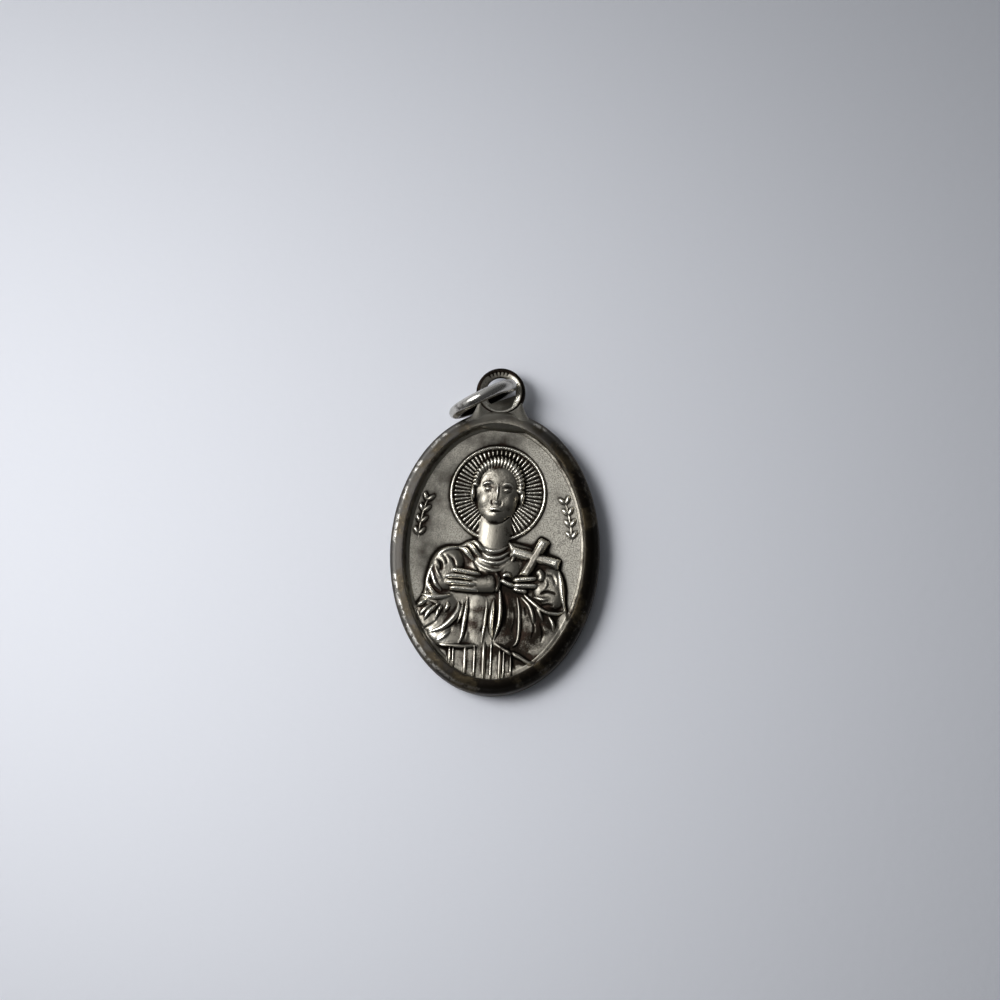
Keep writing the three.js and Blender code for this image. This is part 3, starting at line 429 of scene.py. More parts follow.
def figure_relief(x, y):
    """The halo, robe, cross, hands, head and leaf sprigs, in the order in which they lie on each other."""
    relief = Relief(x, y)

    # Halo: a raised line round a ring of short rays
    around = np.hypot(x - HEAD_ACROSS, y - HALO_CENTRE_UP)
    angle = np.arctan2(y - HALO_CENTRE_UP, x - HEAD_ACROSS)
    off_line = np.abs(around - HALO_RADIUS) / (HALO_LINE / 2)
    on_line = off_line < 1
    relief.raise_to(on_line, HALO_LINE_HEIGHT * np.sqrt(1 - off_line[on_line] ** 2), 0.03)
    pitch = 2 * math.pi / RAY_COUNT
    off_ray = np.abs((angle / pitch) % 1 - 0.5) * pitch * around / (RAY_WIDTH / 2)
    outer_end = np.clip((HALO_RADIUS * 0.95 - around) / 0.1, 0, 1)
    inner_end = np.clip((around - HALO_RADIUS * 0.5) / 0.2, 0, 1)
    ray = outer_end * inner_end * np.sqrt(np.clip(1 - off_ray**2, 0, 1))
    on_ray = ray > 0
    relief.raise_to(on_ray, RAY_HEIGHT * ray[on_ray], 0.02)

    # Robe
    depth = distance_inside(x, y, np.array(in_field(ROBE_OUTLINE)))
    cloth = depth > 0
    edge = np.clip(depth[cloth] / ROBE_EDGE, 0, 1) ** 0.5
    relief.raise_to(cloth, ROBE_RISE * RELIEF_HEIGHT * edge, 0.04)
    for _, across, up, width, length, turn, rise in BODY_MASSES:
        middle = in_field([(across, up)])[0]
        relief.dome(middle, width * FIELD_HALF_WIDTH, length * FIELD_HALF_LENGTH, turn, rise, 0.1, 1.8)
    for _, width, low, rise, path in CLOTH_FOLDS:
        relief.ridge(in_field(path), width * FOLD_WIDTH, low, rise)
    for across, top, foot, width in SKIRT_PLEATS:
        path = in_field([(across, top + 0.04), (across, (top + foot) / 2), (across, foot - 0.05)])
        relief.ridge(path, width * FOLD_WIDTH, 0.2, 0.48, blunt=True)

    # Cross and the hands that hold it
    for _, foot, head, rise in CROSS_BARS:
        relief.bar(*in_field([foot, head]), CROSS_BAR_WIDTH, rise)
    for _, width, low, rise, path in HAND_FORMS:
        relief.ridge(in_field(path), width * FOLD_WIDTH, low, rise, blunt=True)

    # Head
    tilt = math.degrees(HEAD_TILT)
    for _, across, up, width, length, rise in HEAD_MASSES:
        middle = in_head([(across, up)])[0]
        relief.dome(middle, width * HEAD_HALF_WIDTH, length * HEAD_HALF_HEIGHT, tilt, rise, 0.12)
    for _, width, low, rise, path in FACE_RIDGES:
        relief.ridge(in_head(path), width * FOLD_WIDTH, low, rise)
    for across, up in hair_fan(HAIR_LOCKS):
        path = [
            (across * 0.66, HAIR_MIDDLE_UP + up * 0.5),
            (across * 0.8 + up * 0.06, HAIR_MIDDLE_UP + up * 0.68 - across * 0.06),
            (across * 0.93 + up * 0.02, HAIR_MIDDLE_UP + up * 0.85 - across * 0.02),
        ]
        relief.ridge(in_head(path), FOLD_WIDTH * 0.75, 0.5, 0.79, blend=0.06)
    for across, up in hair_fan(HAIR_LOCKS * STRANDS_PER_LOCK):
        path = [
            (across * 0.62 - up * 0.03, HAIR_MIDDLE_UP + up * 0.46 + across * 0.03),
            (across * 0.8 + up * 0.05, HAIR_MIDDLE_UP + up * 0.68 - across * 0.05),
            (across * 0.95, HAIR_MIDDLE_UP + up * 0.87),
        ]
        relief.groove(in_head(path), 0.07, 0.06)
    for width, depth, path in FACE_LINES:
        relief.groove(in_head(path), width, depth)
    for strand in range(BEARD_STRANDS):
        share = 2 * strand / (BEARD_STRANDS - 1) - 1
        reach = math.sqrt(1 - 0.8 * share * share)
        path = [(share * out, BEARD_UP + down * reach) for out, down in BEARD_PATH]
        relief.groove(in_head(path), 0.08, 0.08)

    # Creases of the cloth
    for width, depth, path in FINE_CREASES:
        relief.groove(path, width, depth)

    # A sprig of paired leaves on each side
    for side in (-1, 1):
        stem = [stem_point(side, share) for share in (0, 0.33, 0.67, 1)]
        relief.ridge(stem, LEAF_WIDTH * 0.5, 0, 0.12)
        for pair in range(LEAF_PAIRS):
            share = (pair + 0.5) / LEAF_PAIRS
            foot = stem_point(side, share)
            ahead = stem_point(side, share + 0.05)
            behind = stem_point(side, share - 0.05)
            heading = math.atan2(ahead[1] - behind[1], ahead[0] - behind[0])
            for hand in (-1, 1):
                leaf = heading + hand * LEAF_SPREAD
                across = foot[0] + LEAF_LENGTH / 2 * math.cos(leaf)
                up = foot[1] + LEAF_LENGTH / 2 * math.sin(leaf)
                relief.dome((across, up), LEAF_LENGTH, LEAF_WIDTH, math.degrees(leaf), 0.2, 0.02)
    return relief.height


def oval_point(angle, inset):
    """The points at these angles round the oval, that far in from its outline."""
    x = OVAL_WIDTH / 2 * np.cos(angle)
    y = OVAL_LENGTH / 2 * np.sin(angle)
    outward_x = np.cos(angle) / OVAL_WIDTH
    outward_y = np.sin(angle) / OVAL_LENGTH
    size = np.hypot(outward_x, outward_y)
    return x - inset * outward_x / size, y - inset * outward_y / size


def smooth_grid(values, rounds):
    """The grid averaged with its neighbours a number of times."""
    out = values.copy()
    for _ in range(rounds):
        padded = np.pad(out, 1, mode="edge")
        out = (padded[:-2, 1:-1] + padded[2:, 1:-1] + padded[1:-1, :-2] + padded[1:-1, 2:] + out) / 5
    return out


# The field is a square grid of points pressed into the oval, so that its cells are alike all over.
side = np.linspace(-1, 1, GRID)
grid_u, grid_v = np.meshgrid(side, side)
disc_x = grid_u * np.sqrt(1 - grid_v**2 / 2)
disc_y = grid_v * np.sqrt(1 - grid_u**2 / 2)
disc_angle = np.arctan2(disc_y, disc_x)
disc_radius = np.hypot(disc_x, disc_y)
edge_x, edge_y = oval_point(disc_angle, FIELD_EDGE_INSET)
field_x = disc_radius * edge_x
field_y = disc_radius * edge_y
field_relief = figure_relief(field_x, field_y)
close_hollow = smooth_grid(field_relief, 5) - field_relief
broad_hollow = smooth_grid(field_relief, 40) - field_relief
field_patina_and_painted_light = 1.5 * close_hollow + 0.7 * broad_hollow

# Tarnish and painted shade spread over the cloth and field, in millimetres. The painted shade lies in the
# throat, along the left sleeve's hem and towards the left and top of the field. Where the strength is
# negative the metal is painted rubbed bright, as painted highlights on the left sleeve, the middle fold and
# the pleats.
# across, up, half width, half height, strength
TARNISH_SHADE_AND_HIGHLIGHTS = [
    (1.3, -4.8, 0.55, 2.2, 0.095),
    (0.95, 1.2, 0.3, 1.3, 0.06),
    (0.1, 1.55, 0.12, 0.3, 0.1),
    (3.3, -6.8, 0.5, 0.6, 0.12),
    (3.9, -6.2, 0.35, 0.3, 0.09),
    (4.3, -4.4, 0.3, 0.22, 0.12),
    (3.4, -1.6, 0.8, 0.8, 0.06),
    (2.9, -1.3, 1.3, 0.6, 0.05),
    (4.9, -3.1, 0.5, 1.4, 0.05),
    (3.6, -5.9, 0.3, 0.5, 0.05),
    (-3.95, -1, 0.3, 0.34, 0.1),
    (-3.2, -0.75, 0.3, 0.2, 0.06),
    (-4, -4.6, 0.8, 0.7, 0.1),
    (0.6, -2.9, 1.3, 0.4, 0.06),
    (-2.7, -5.6, 0.25, 1, 0.08),
    (1.7, -8, 0.3, 0.9, 0.12),
    (2.6, -5.2, 2.6, 3, 0.08),
    (-2.8, -7.4, 1.6, 0.22, 0.16),
    (0.9, -7.55, 0.8, 0.3, 0.14),
    (2.35, -8.25, 0.9, 0.3, 0.14),
    (3.9, -2.9, 0.5, 0.6, 0.05),
    (-0.5, -2.3, 1, 0.7, 0.06),
    (0.3, -2.3, 0.25, 0.8, 0.12),
    (2.9, 0, 2.2, 1.3, 0.035),
    (2.2, -7.4, 1, 0.8, 0.05),
    (-1.2, -5.2, 0.9, 2.4, 0.065),
    (0.1, 4.5, 3.4, 3.4, 0.03),
    (0, -8.4, 3.4, 1.3, 0.05),
    (-5.4, 1.6, 1.6, 4.5, 0.065),
    (-3.6, 6.2, 1.8, 2.4, 0.06),
    (0.3, 8.9, 4, 1, 0.075),
    (3.2, 0.1, 0.8, 0.5, 0.05),
    (-4.9, -0.9, 1.1, 1.6, 0.04),
    (4.6, 4.4, 0.8, 1.2, 0.03),
    (-1, -1.9, 1.4, 0.35, 0.08),
    (4.7, -5.6, 0.7, 1.2, 0.05),
    (-4.6, -6.3, 0.6, 0.35, -0.13),
    (-3.8, -7, 0.7, 0.3, -0.13),
    (-4.9, -2.3, 0.3, 1.2, -0.1),
    (-5, -3.6, 0.5, 0.4, -0.1),
    (-2.7, -2.3, 1, 0.7, -0.12),
    (0.2, -6.2, 0.35, 0.6, -0.1),
    (-0.6, -7.9, 0.2, 0.5, -0.06),
    (0.8, -8.3, 0.15, 0.7, -0.06),
    (-2, -8.1, 0.2, 0.6, -0.06),
    (3.8, -4.2, 1.1, 1.5, 0.04),
]
for across, up, half_width, half_height, strength in TARNISH_SHADE_AND_HIGHLIGHTS:
    spread = ((field_x - across) / half_width) ** 2 + ((field_y - up) / half_height) ** 2
    field_patina_and_painted_light += strength * np.exp(-spread)

# Hair and beard are left darker than the skin.
head_x = (field_x - HEAD_ACROSS) * math.cos(HEAD_TILT) + (field_y - HEAD_UP) * math.sin(HEAD_TILT)
head_y = (field_y - HEAD_UP) * math.cos(HEAD_TILT) - (field_x - HEAD_ACROSS) * math.sin(HEAD_TILT)
hair_place = np.hypot(head_x / HEAD_HALF_WIDTH, head_y / HEAD_HALF_HEIGHT - 0.1)
upper_half = np.clip(head_y / HEAD_HALF_HEIGHT * 4 + 0.5, 0, 1)
field_patina_and_painted_light += 0.07 * upper_half * np.exp(-(((hair_place - 0.84) / 0.1) ** 2))
beard_place = np.hypot(head_x / 0.42, head_y / HEAD_HALF_HEIGHT * 5 + 4.1)
field_patina_and_painted_light += 0.09 * np.exp(-(beard_place**2))

# The struck field is slightly dished.
field_middle = np.hypot(field_x / FIELD_HALF_WIDTH, field_y / FIELD_HALF_LENGTH)
field_surface = FIELD_TOP - FIELD_DISH * np.clip(1 - field_middle**2, 0, 1) + field_relief

# Round the grid's border run the rows of the rim, its outer side and the plain back.
last = GRID - 1
border = [(0, i) for i in range(last)]
border += [(i, last) for i in range(last)]
border += [(last, last - i) for i in range(last)]
border += [(last - i, 0) for i in range(last)]
border_index = np.array([row * GRID + column for row, column in border])
border_angle = disc_angle.ravel()[border_index]

# The rim's crown runs close to its inner edge. From there it falls in a smooth curve to the outer side.
RIM_CROWN_INSET = 1.03
RIM_CROWN_STEPS = 12

# inset from the outline, height, how much it counts as rim, how much it is rubbed bright and painted as a
# highlight
rim_profile = [
    (RIM_WIDTH + RIM_STEP_WIDTH * 1.2, FIELD_TOP + 0.01, 0, 0),
    (RIM_WIDTH + RIM_STEP_WIDTH, FIELD_TOP + RIM_STEP_HEIGHT, 0, 0.6),
    (RIM_WIDTH + 0.04, FIELD_TOP + RIM_STEP_HEIGHT, 0.2, 0),
    (RIM_WIDTH - 0.01, FIELD_TOP + RIM_STEP_HEIGHT + 0.03, 0.2, 0),
    (RIM_WIDTH - 0.05, FIELD_TOP + RIM_STEP_HEIGHT + 0.13, 0.1, 0.2),
    (RIM_WIDTH - 0.1, RIM_THICKNESS - 0.17, 0.1, 0.4),
    (RIM_WIDTH - 0.13, RIM_THICKNESS - 0.08, 0.4, 0.6),
    (RIM_WIDTH - 0.17, RIM_THICKNESS - 0.02, 0.8, 0.3),
]
for step in range(RIM_CROWN_STEPS + 1):
    share = step / RIM_CROWN_STEPS
    fall = RIM_FALL * (1 - math.sqrt(1 - share * share))
    # A band of the crown is painted rubbed bright: worn chips and a painted highlight line where the window
    # shines.
    rubbed_and_highlit = math.exp(-(((share - 0.7) / 0.1) ** 2))
    rim_profile.append((RIM_CROWN_INSET * (1 - share), RIM_THICKNESS - fall, 1, rubbed_and_highlit))
rim_profile += [
    (0, RIM_THICKNESS * 0.45, 1, 0),
    (0, RIM_ROUNDING, 1, 0),
    (RIM_ROUNDING * 0.3, RIM_ROUNDING * 0.3, 1, 0.5),
    (RIM_ROUNDING, 0, 1, 0.5),
    (RIM_WIDTH - 0.3, 0, 1, 0.3),
    (RIM_WIDTH - 0.15, 0.05, 1, 0),
    (RIM_WIDTH, BACK_RECESS, 0.6, 0),
    (RIM_WIDTH * 2, BACK_RECESS, 0, 0),
    (RIM_WIDTH * 3.6, BACK_RECESS, 0, 0),
]

# The values painted on the points say how deep in a hollow each lies, with the tarnish, painted shade and
# painted highlights of the stain table; whether it is rim, rubbed edge with a painted highlight line, or
# raised figure; and how black it is painted, as black tarnish and painted shade.
medal_parts = []
painted_parts = {"patina_and_painted_light": [], "rim": [], "rubbed_and_highlit": [], "raised": [], "blackened_and_shaded": []}


def add_points(x, y, z, paint):
    """Adds points to the medal, with the values that are painted on them for its material."""
    medal_parts.append(np.column_stack([x.ravel(), y.ravel(), z.ravel()]))
    for name, values in paint.items():
        painted_parts[name].append(np.broadcast_to(values, x.shape).ravel())


# The side that lies lower right, away from the window, is painted black: black tarnish and painted shade.
BLACK_AND_SHADED_SIDE = math.radians(-25)
figure_share = np.clip(field_relief / 0.08, 0, 1)
paint = {"patina_and_painted_light": field_patina_and_painted_light, "rim": 0, "rubbed_and_highlit": 0, "raised": figure_share, "blackened_and_shaded": 0}
add_points(field_x, field_y, field_surface, paint)
for inset, height, rim, rubbed_and_highlit in rim_profile:
    x, y = oval_point(border_angle, inset)
    z = np.full(x.shape, height)
    on_front = height > RIM_THICKNESS / 2
    if on_front and inset > RIM_WIDTH * 0.85:
        # The figure runs up against the inner wall of the rim and stops there.
        z = np.maximum(z, FIELD_TOP + figure_relief(x, y))
    foot_of_wall = math.exp(-(((inset - RIM_WIDTH) / 0.12) ** 2)) if on_front else 0
    near_neck = np.exp(-((x / 2.1) ** 4)) * (y > 0)
    side_wall = 0.35 if inset == 0 else 1
    paint = {
        "patina_and_painted_light": 0.05 * foot_of_wall,
        "rim": rim * (1 - 0.8 * near_neck),
        "rubbed_and_highlit": rubbed_and_highlit,
        "raised": 1,
        "blackened_and_shaded": side_wall * (0.5 + 0.5 * np.cos(np.arctan2(y, x) - BLACK_AND_SHADED_SIDE)),
    }
    add_points(x, y, z, paint)

# Four-sided faces cover the field and run from its border over the rim. One face closes the back.
cell = (np.arange(last)[:, None] * GRID + np.arange(last)[None, :]).ravel()
quads = [np.column_stack([cell, cell + 1, cell + GRID + 1, cell + GRID])]
count = len(border_index)
ahead = (np.arange(count) + 1) % count
inner = border_index
for row in range(len(rim_profile)):
    outer = GRID * GRID + row * count + np.arange(count)
    quads.append(np.column_stack([inner, outer, outer[ahead], inner[ahead]]))
    inner = outer
medal_faces = [tuple(quad) for quad in np.vstack(quads).tolist()]
medal_faces.append(tuple(inner.tolist()))

# The eye is a thick band, bevelled towards its hole, with notches across its top. Its neck rises and
# spreads into the rim.
EYE_DIAMETER = 3.8
EYE_HOLE = 2.3
EYE_THICKNESS = 0.76
EYE_RISE = 1.5
EYE_UP = OVAL_LENGTH / 2 + EYE_RISE
EYE_ROUND = 240
RING_WIRE = 0.92
RING_CLEARANCE = 0.15
EYE_HEIGHT = RING_WIRE + RING_CLEARANCE + EYE_THICKNESS / 2
NECK_TOP_HALF = 1.62
NECK_FOOT_HALF = 3.1
NECK_FOOT_INSET = 1
NECK_ROWS = 16
NECK_SECTION = 48


def signed_power(value, power):
    """A power that keeps the value's sign, for a section between a circle and a square."""
    return math.copysign(abs(value) ** power, value)


def add_tube(rows, loop, patina_and_painted_light, rim):
    """Adds rows of points, joined into a tube, to the medal. Loop joins the last row to the first."""
    start = sum(len(part) for part in medal_parts)
    per_row = len(rows[0])
    for row in range(len(rows) - (0 if loop else 1)):
        near = start + row * per_row
        far = start + (row + 1) % len(rows) * per_row
        for i in range(per_row):
            j = (i + 1) % per_row
            medal_faces.append((near + i, far + i, far + j, near + j))
    if not loop:
        end = start + (len(rows) - 1) * per_row
        medal_faces.append(tuple(range(start, start + per_row)))
        medal_faces.append(tuple(reversed(range(end, end + per_row))))
    paint = {"patina_and_painted_light": patina_and_painted_light, "rim": rim, "rubbed_and_highlit": 0.3, "raised": 0.7, "blackened_and_shaded": 0.5}
    add_points(*np.array(rows).reshape(-1, 3).T, paint)


band = (EYE_DIAMETER - EYE_HOLE) / 4
band_middle = EYE_HOLE / 2 + band

# The upper side of the band's section, as shares of its half width and half height
# out from its middle, height, how dirty
EYE_SECTION = [
    (1, 0, 0.3), (0.99, 0.3, 0.3), (0.95, 0.56, 0.3), (0.86, 0.78, 0.3), (0.72, 0.92, 0.26),
    (0.56, 0.99, 0.2), (0.4, 1, 0.14), (0.24, 0.96, 0.02), (0, 0.87, -0.14), (-0.25, 0.77, -0.16),
    (-0.5, 0.66, -0.16), (-0.7, 0.54, -0.14), (-0.86, 0.4, -0.06), (-0.96, 0.22, 0.02), (-1, 0, 0.06),
]
lower_side = [(out, -high, dirty) for out, high, dirty in EYE_SECTION[-2:0:-1]]
EYE_NOTCHES = 6
NOTCH_PITCH = math.radians(11)
NOTCH_MIDDLE = math.radians(98)
NOTCH_DEPTH = 0.07
eye_rows = []
eye_hollow = []
for i in range(EYE_ROUND):
    turn = 2 * math.pi * i / EYE_ROUND
    from_middle = (turn - NOTCH_MIDDLE) / NOTCH_PITCH
    in_notch = 0.0
    if abs(from_middle) < EYE_NOTCHES / 2:
        in_notch = math.sin(math.pi * (from_middle + EYE_NOTCHES / 2)) ** 4
    grime = 0.14 * math.exp(-(((turn - NOTCH_MIDDLE) / math.radians(50)) ** 2))
    row = []
    for out_share, high_share, dirty in EYE_SECTION + lower_side:
        on_slope = math.exp(-(((out_share + 0.15) / 0.45) ** 2)) if high_share > 0 else 0
        out = band_middle + band * out_share
        height = EYE_HEIGHT + EYE_THICKNESS / 2 * high_share - NOTCH_DEPTH * in_notch * on_slope
        row.append((out * math.cos(turn), EYE_UP + out * math.sin(turn), height))
        eye_hollow.append(dirty + grime + 0.2 * in_notch * on_slope)
    eye_rows.append(row)
add_tube(eye_rows, loop=True, patina_and_painted_light=eye_hollow, rim=0)

NECK_SINK = 0.03
neck_rows = []
neck_bottom = EYE_HEIGHT - EYE_THICKNESS * 0.4
neck_foot_top = RIM_THICKNESS - NECK_SINK
neck_rise = EYE_HEIGHT + EYE_THICKNESS * 0.42 - neck_foot_top
for i in range(NECK_ROWS):
    share = i / (NECK_ROWS - 1)
    half_width = NECK_TOP_HALF + (NECK_FOOT_HALF - NECK_TOP_HALF) * (1 - share) ** 2.4
    neck_top = neck_foot_top + neck_rise * share * share * (3 - 2 * share)
    row = []
    for j in range(NECK_SECTION):
        section = 2 * math.pi * j / NECK_SECTION
        x = signed_power(math.cos(section), 0.6) * half_width
        foot = OVAL_LENGTH / 2 * math.sqrt(1 - (x / (OVAL_WIDTH / 2)) ** 2) - NECK_FOOT_INSET
        head = EYE_UP - math.sqrt(max(band_middle**2 - x * x, 0))
        height = (neck_top + neck_bottom) / 2
        height += (neck_top - neck_bottom) / 2 * signed_power(math.sin(section), 0.4)
        row.append((x, foot + (head - foot) * share, height))
    neck_rows.append(row)
add_tube(neck_rows, loop=False, patina_and_painted_light=-0.04, rim=0.25)

# The medal lies flat on its back, where its solid does.
medal_low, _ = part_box("medal")
shift_y = medal_low[1] / MM + OVAL_LENGTH / 2
medal_points = (np.vstack(medal_parts) + (0, shift_y, 0)) * MM

medal_mesh = bpy.data.meshes.new("struck_medal")
medal_mesh.from_pydata(medal_points.tolist(), [], medal_faces)
medal_mesh.update()
for name, parts in painted_parts.items():
    attribute = medal_mesh.attributes.new(name, "FLOAT", "POINT")
    attribute.data.foreach_set("value", np.concatenate(parts).astype(np.float32))
medal_mesh.shade_smooth()
struck_medal = bpy.data.objects.new("struck_medal", medal_mesh)
bpy.context.collection.objects.link(struck_medal)


def new_material(name):
    """A material with its Principled shader."""
    material = bpy.data.materials.new(name)
    material.use_nodes = True
    return material, material.node_tree, material.node_tree.nodes["Principled BSDF"]


def tarnish_group():
    """Blotches of dark tarnish and fine grain, shared by the medal and its ring."""
    group = bpy.data.node_groups.new("silver_tarnish", "ShaderNodeTree")
    group.interface.new_socket("Vector", in_out="INPUT", socket_type="NodeSocketVector")
    for name in ("Blotch Scale", "Grain Scale"):
        group.interface.new_socket(name, in_out="INPUT", socket_type="NodeSocketFloat")
    for name in ("Blotches", "Grain"):
        group.interface.new_socket(name, in_out="OUTPUT", socket_type="NodeSocketFloat")
    entry = group.nodes.new("NodeGroupInput")
    leave = group.nodes.new("NodeGroupOutput")
    patterns = [("Blotches", "Blotch Scale", 5, 0.62), ("Grain", "Grain Scale", 3, 0.6)]
    for name, scale, detail, rough in patterns:
        noise = group.nodes.new("ShaderNodeTexNoise")
        noise.inputs["Detail"].default_value = detail
        noise.inputs["Roughness"].default_value = rough
        group.links.new(entry.outputs["Vector"], noise.inputs["Vector"])
        group.links.new(entry.outputs[scale], noise.inputs["Scale"])
        group.links.new(noise.outputs["Fac"], leave.inputs[name])
    return group


silver_tarnish = tarnish_group()


def add_tarnish(tree, blotch_scale, grain_scale=0):
    """The shared tarnish placed in a material. Gives its blotches and its grain."""
    coordinates = tree.nodes.new("ShaderNodeTexCoord")
    node = tree.nodes.new("ShaderNodeGroup")
    node.node_tree = silver_tarnish
    node.inputs["Blotch Scale"].default_value = blotch_scale
    node.inputs["Grain Scale"].default_value = grain_scale
    tree.links.new(coordinates.outputs["Object"], node.inputs["Vector"])
    return node.outputs["Blotches"], node.outputs["Grain"]


def painted_value(tree, name):
    """A value painted on the points of the mesh."""
    node = tree.nodes.new("ShaderNodeAttribute")
    node.attribute_name = name
    return node.outputs["Fac"]


def ramp(tree, source, low, high):
    """The source value turned into 0 below low and 1 above high."""
    node = tree.nodes.new("ShaderNodeMapRange")
    node.interpolation_type = "SMOOTHSTEP"
    node.inputs["From Min"].default_value = low
    node.inputs["From Max"].default_value = high
    tree.links.new(source, node.inputs["Value"])
    return node.outputs["Result"]


def put_together(tree, operation, values):
    """Values put together one after another. Each may be a number or a socket."""
    total = values[0]
    for value in values[1:]:
        node = tree.nodes.new("ShaderNodeMath")
        node.operation = operation
        for socket, part in zip(node.inputs, (total, value)):
            if isinstance(part, (int, float)):
                socket.default_value = part
            else:
                tree.links.new(part, socket)
        total = node.outputs["Value"]
    return total


def plus(tree, *values):
    """Values added up, each a number or a socket."""
    return put_together(tree, "ADD", values)


def minus(tree, *values):
    """The first value less the others."""
    return put_together(tree, "SUBTRACT", values)


def times(tree, *values):
    """Values multiplied."""
    return put_together(tree, "MULTIPLY", values)


def mix_colour(tree, share, first, second):
    """A mix of two colours. Either may be a colour or a socket."""
    node = tree.nodes.new("ShaderNodeMix")
    node.data_type = "RGBA"
    tree.links.new(share, node.inputs["Factor"])
    for socket, value in ((node.inputs[6], first), (node.inputs[7], second)):
        if isinstance(value, tuple):
            socket.default_value = (*value, 1)
        else:
            tree.links.new(value, socket)
    return node.outputs[2]


def add_bump(tree, shader, height, strength, distance):
    """A fine unevenness that only the light shows."""
    bump = tree.nodes.new("ShaderNodeBump")
    bump.inputs["Strength"].default_value = strength
    bump.inputs["Distance"].default_value = distance
    tree.links.new(height, bump.inputs["Height"])
    tree.links.new(bump.outputs["Normal"], shader.inputs["Normal"])


# Rubbed silver for worn high places, also used for painted highlights.
RUBBED_AND_HIGHLIT_SILVER = (0.88, 0.84, 0.74)
DULL_SILVER = (0.335, 0.312, 0.265)
FIELD_SILVER = (0.53, 0.505, 0.44)
DARK_SAND = (0.27, 0.255, 0.225)
# Black patina for the hollows, also used for painted shade on the figure, the rim and inside the ring.
PATINA_AND_SHADE_BLACK = (0.02, 0.016, 0.012)
# Chipped silver for the rim's worn chips and its painted highlight line.
CHIPPED_AND_HIGHLIT_SILVER = (0.94, 0.91, 0.84)
GREY_TARNISH = (0.1, 0.093, 0.084)
OLIVE_TARNISH = (0.075, 0.06, 0.038)
RUST_TARNISH = (0.036, 0.024, 0.018)
BRONZE_FLECK = (0.2, 0.165, 0.11)
BLOTCHES_PER_METRE = 700
GRAINS_PER_METRE = 11000
CHIPS_PER_METRE = 3200

medal_metal, tree, shader = new_material("darkened_silver_plate")
blotches, grain = add_tarnish(tree, BLOTCHES_PER_METRE, GRAINS_PER_METRE)
chipping, _ = add_tarnish(tree, CHIPS_PER_METRE)
painted = {name: painted_value(tree, name) for name in painted_parts}

# Dirt and patina lie in the hollows and stop in ragged edges, and so does the painted shade of the stain
# table. Its negative rows make painted highlights where the high places are rubbed bright.
blotch_strength = plus(tree, times(tree, painted["raised"], 0.24), 0.12)
unevenness = times(tree, minus(tree, blotches, 0.5), blotch_strength)
speckle = times(tree, minus(tree, grain, 0.5), 0.1)
dirt_and_shade = ramp(tree, plus(tree, painted["patina_and_painted_light"], unevenness, speckle), 0.02, 0.13)
worn_and_highlit_place = ramp(tree, times(tree, painted["patina_and_painted_light"], -1), 0.02, 0.11)
plate = mix_colour(tree, worn_and_highlit_place, DULL_SILVER, RUBBED_AND_HIGHLIT_SILVER)
sand = mix_colour(tree, ramp(tree, grain, 0.4, 0.58), DARK_SAND, FIELD_SILVER)
ground = mix_colour(tree, painted["raised"], sand, plate)
patina_and_shade = mix_colour(tree, ramp(tree, blotches, 0.5, 0.62), PATINA_AND_SHADE_BLACK, RUST_TARNISH)
figure_colour = mix_colour(tree, dirt_and_shade, ground, patina_and_shade)

# The rim has lost most of its plating. It is grey and olive with bronze flecks, and painted black on the
# lower right side, as black tarnish and painted shade.
chipped_stretches = ramp(tree, blotches, 0.46, 0.56)
black_and_shaded_side = ramp(tree, plus(tree, painted["blackened_and_shaded"], unevenness), 0.3, 0.7)
grey_patches = times(tree, ramp(tree, blotches, 0.42, 0.6), 0.7)
rim_grey = mix_colour(tree, grey_patches, GREY_TARNISH, OLIVE_TARNISH)
rim_black_and_shade = mix_colour(tree, ramp(tree, blotches, 0.48, 0.66), PATINA_AND_SHADE_BLACK, OLIVE_TARNISH)
rim_dark = mix_colour(tree, black_and_shaded_side, rim_grey, rim_black_and_shade)
kept_flecks = minus(tree, 0.45, times(tree, black_and_shaded_side, 0.25))
flecks = times(tree, ramp(tree, chipping, 0.54, 0.62), chipped_stretches, kept_flecks)
rim_base = mix_colour(tree, flecks, rim_dark, BRONZE_FLECK)

# Its outer edge is rubbed bright in chips along a faint painted highlight line on the crown, both less so
# on the black, shaded side.
chips_and_highlight_line = plus(tree, times(tree, ramp(tree, chipping, 0.44, 0.52), chipped_stretches, 0.82), 0.18)
kept_bright = minus(tree, 1, times(tree, black_and_shaded_side, 0.88))
worn_and_highlit_edge = times(tree, painted["rubbed_and_highlit"], chips_and_highlight_line, kept_bright)
rim_colour = mix_colour(tree, worn_and_highlit_edge, rim_base, CHIPPED_AND_HIGHLIT_SILVER)
metal_colour = mix_colour(tree, painted["rim"], figure_colour, rim_colour)
tree.links.new(metal_colour, shader.inputs["Base Color"])
shader.inputs["Metallic"].default_value = 0.95

# The struck field is sanded and the figure smooth, most of all where it is rubbed.
sanded = times(tree, minus(tree, 1, painted["raised"]), 0.24)
dull = times(tree, dirt_and_shade, 0.15)
smoothed = times(tree, worn_and_highlit_place, -0.17)
rim_matte = times(tree, minus(tree, 1, worn_and_highlit_edge), 0.32)
roughness = tree.nodes.new("ShaderNodeMix")
tree.links.new(painted["rim"], roughness.inputs["Factor"])
tree.links.new(plus(tree, sanded, dull, smoothed, 0.37), roughness.inputs[2])
tree.links.new(plus(tree, rim_matte, 0.22), roughness.inputs[3])
tree.links.new(roughness.outputs[0], shader.inputs["Roughness"])

# The cast surface is a little uneven, and the chips of the rim have edges.
pitting = plus(tree, times(tree, grain, 0.8), times(tree, chipping, 1.4))
add_bump(tree, shader, plus(tree, pitting, times(tree, worn_and_highlit_edge, 1.5)), 0.6, 0.03 * MM)
medal_mesh.materials.append(medal_metal)

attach(struck_medal, "root")
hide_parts("medal")


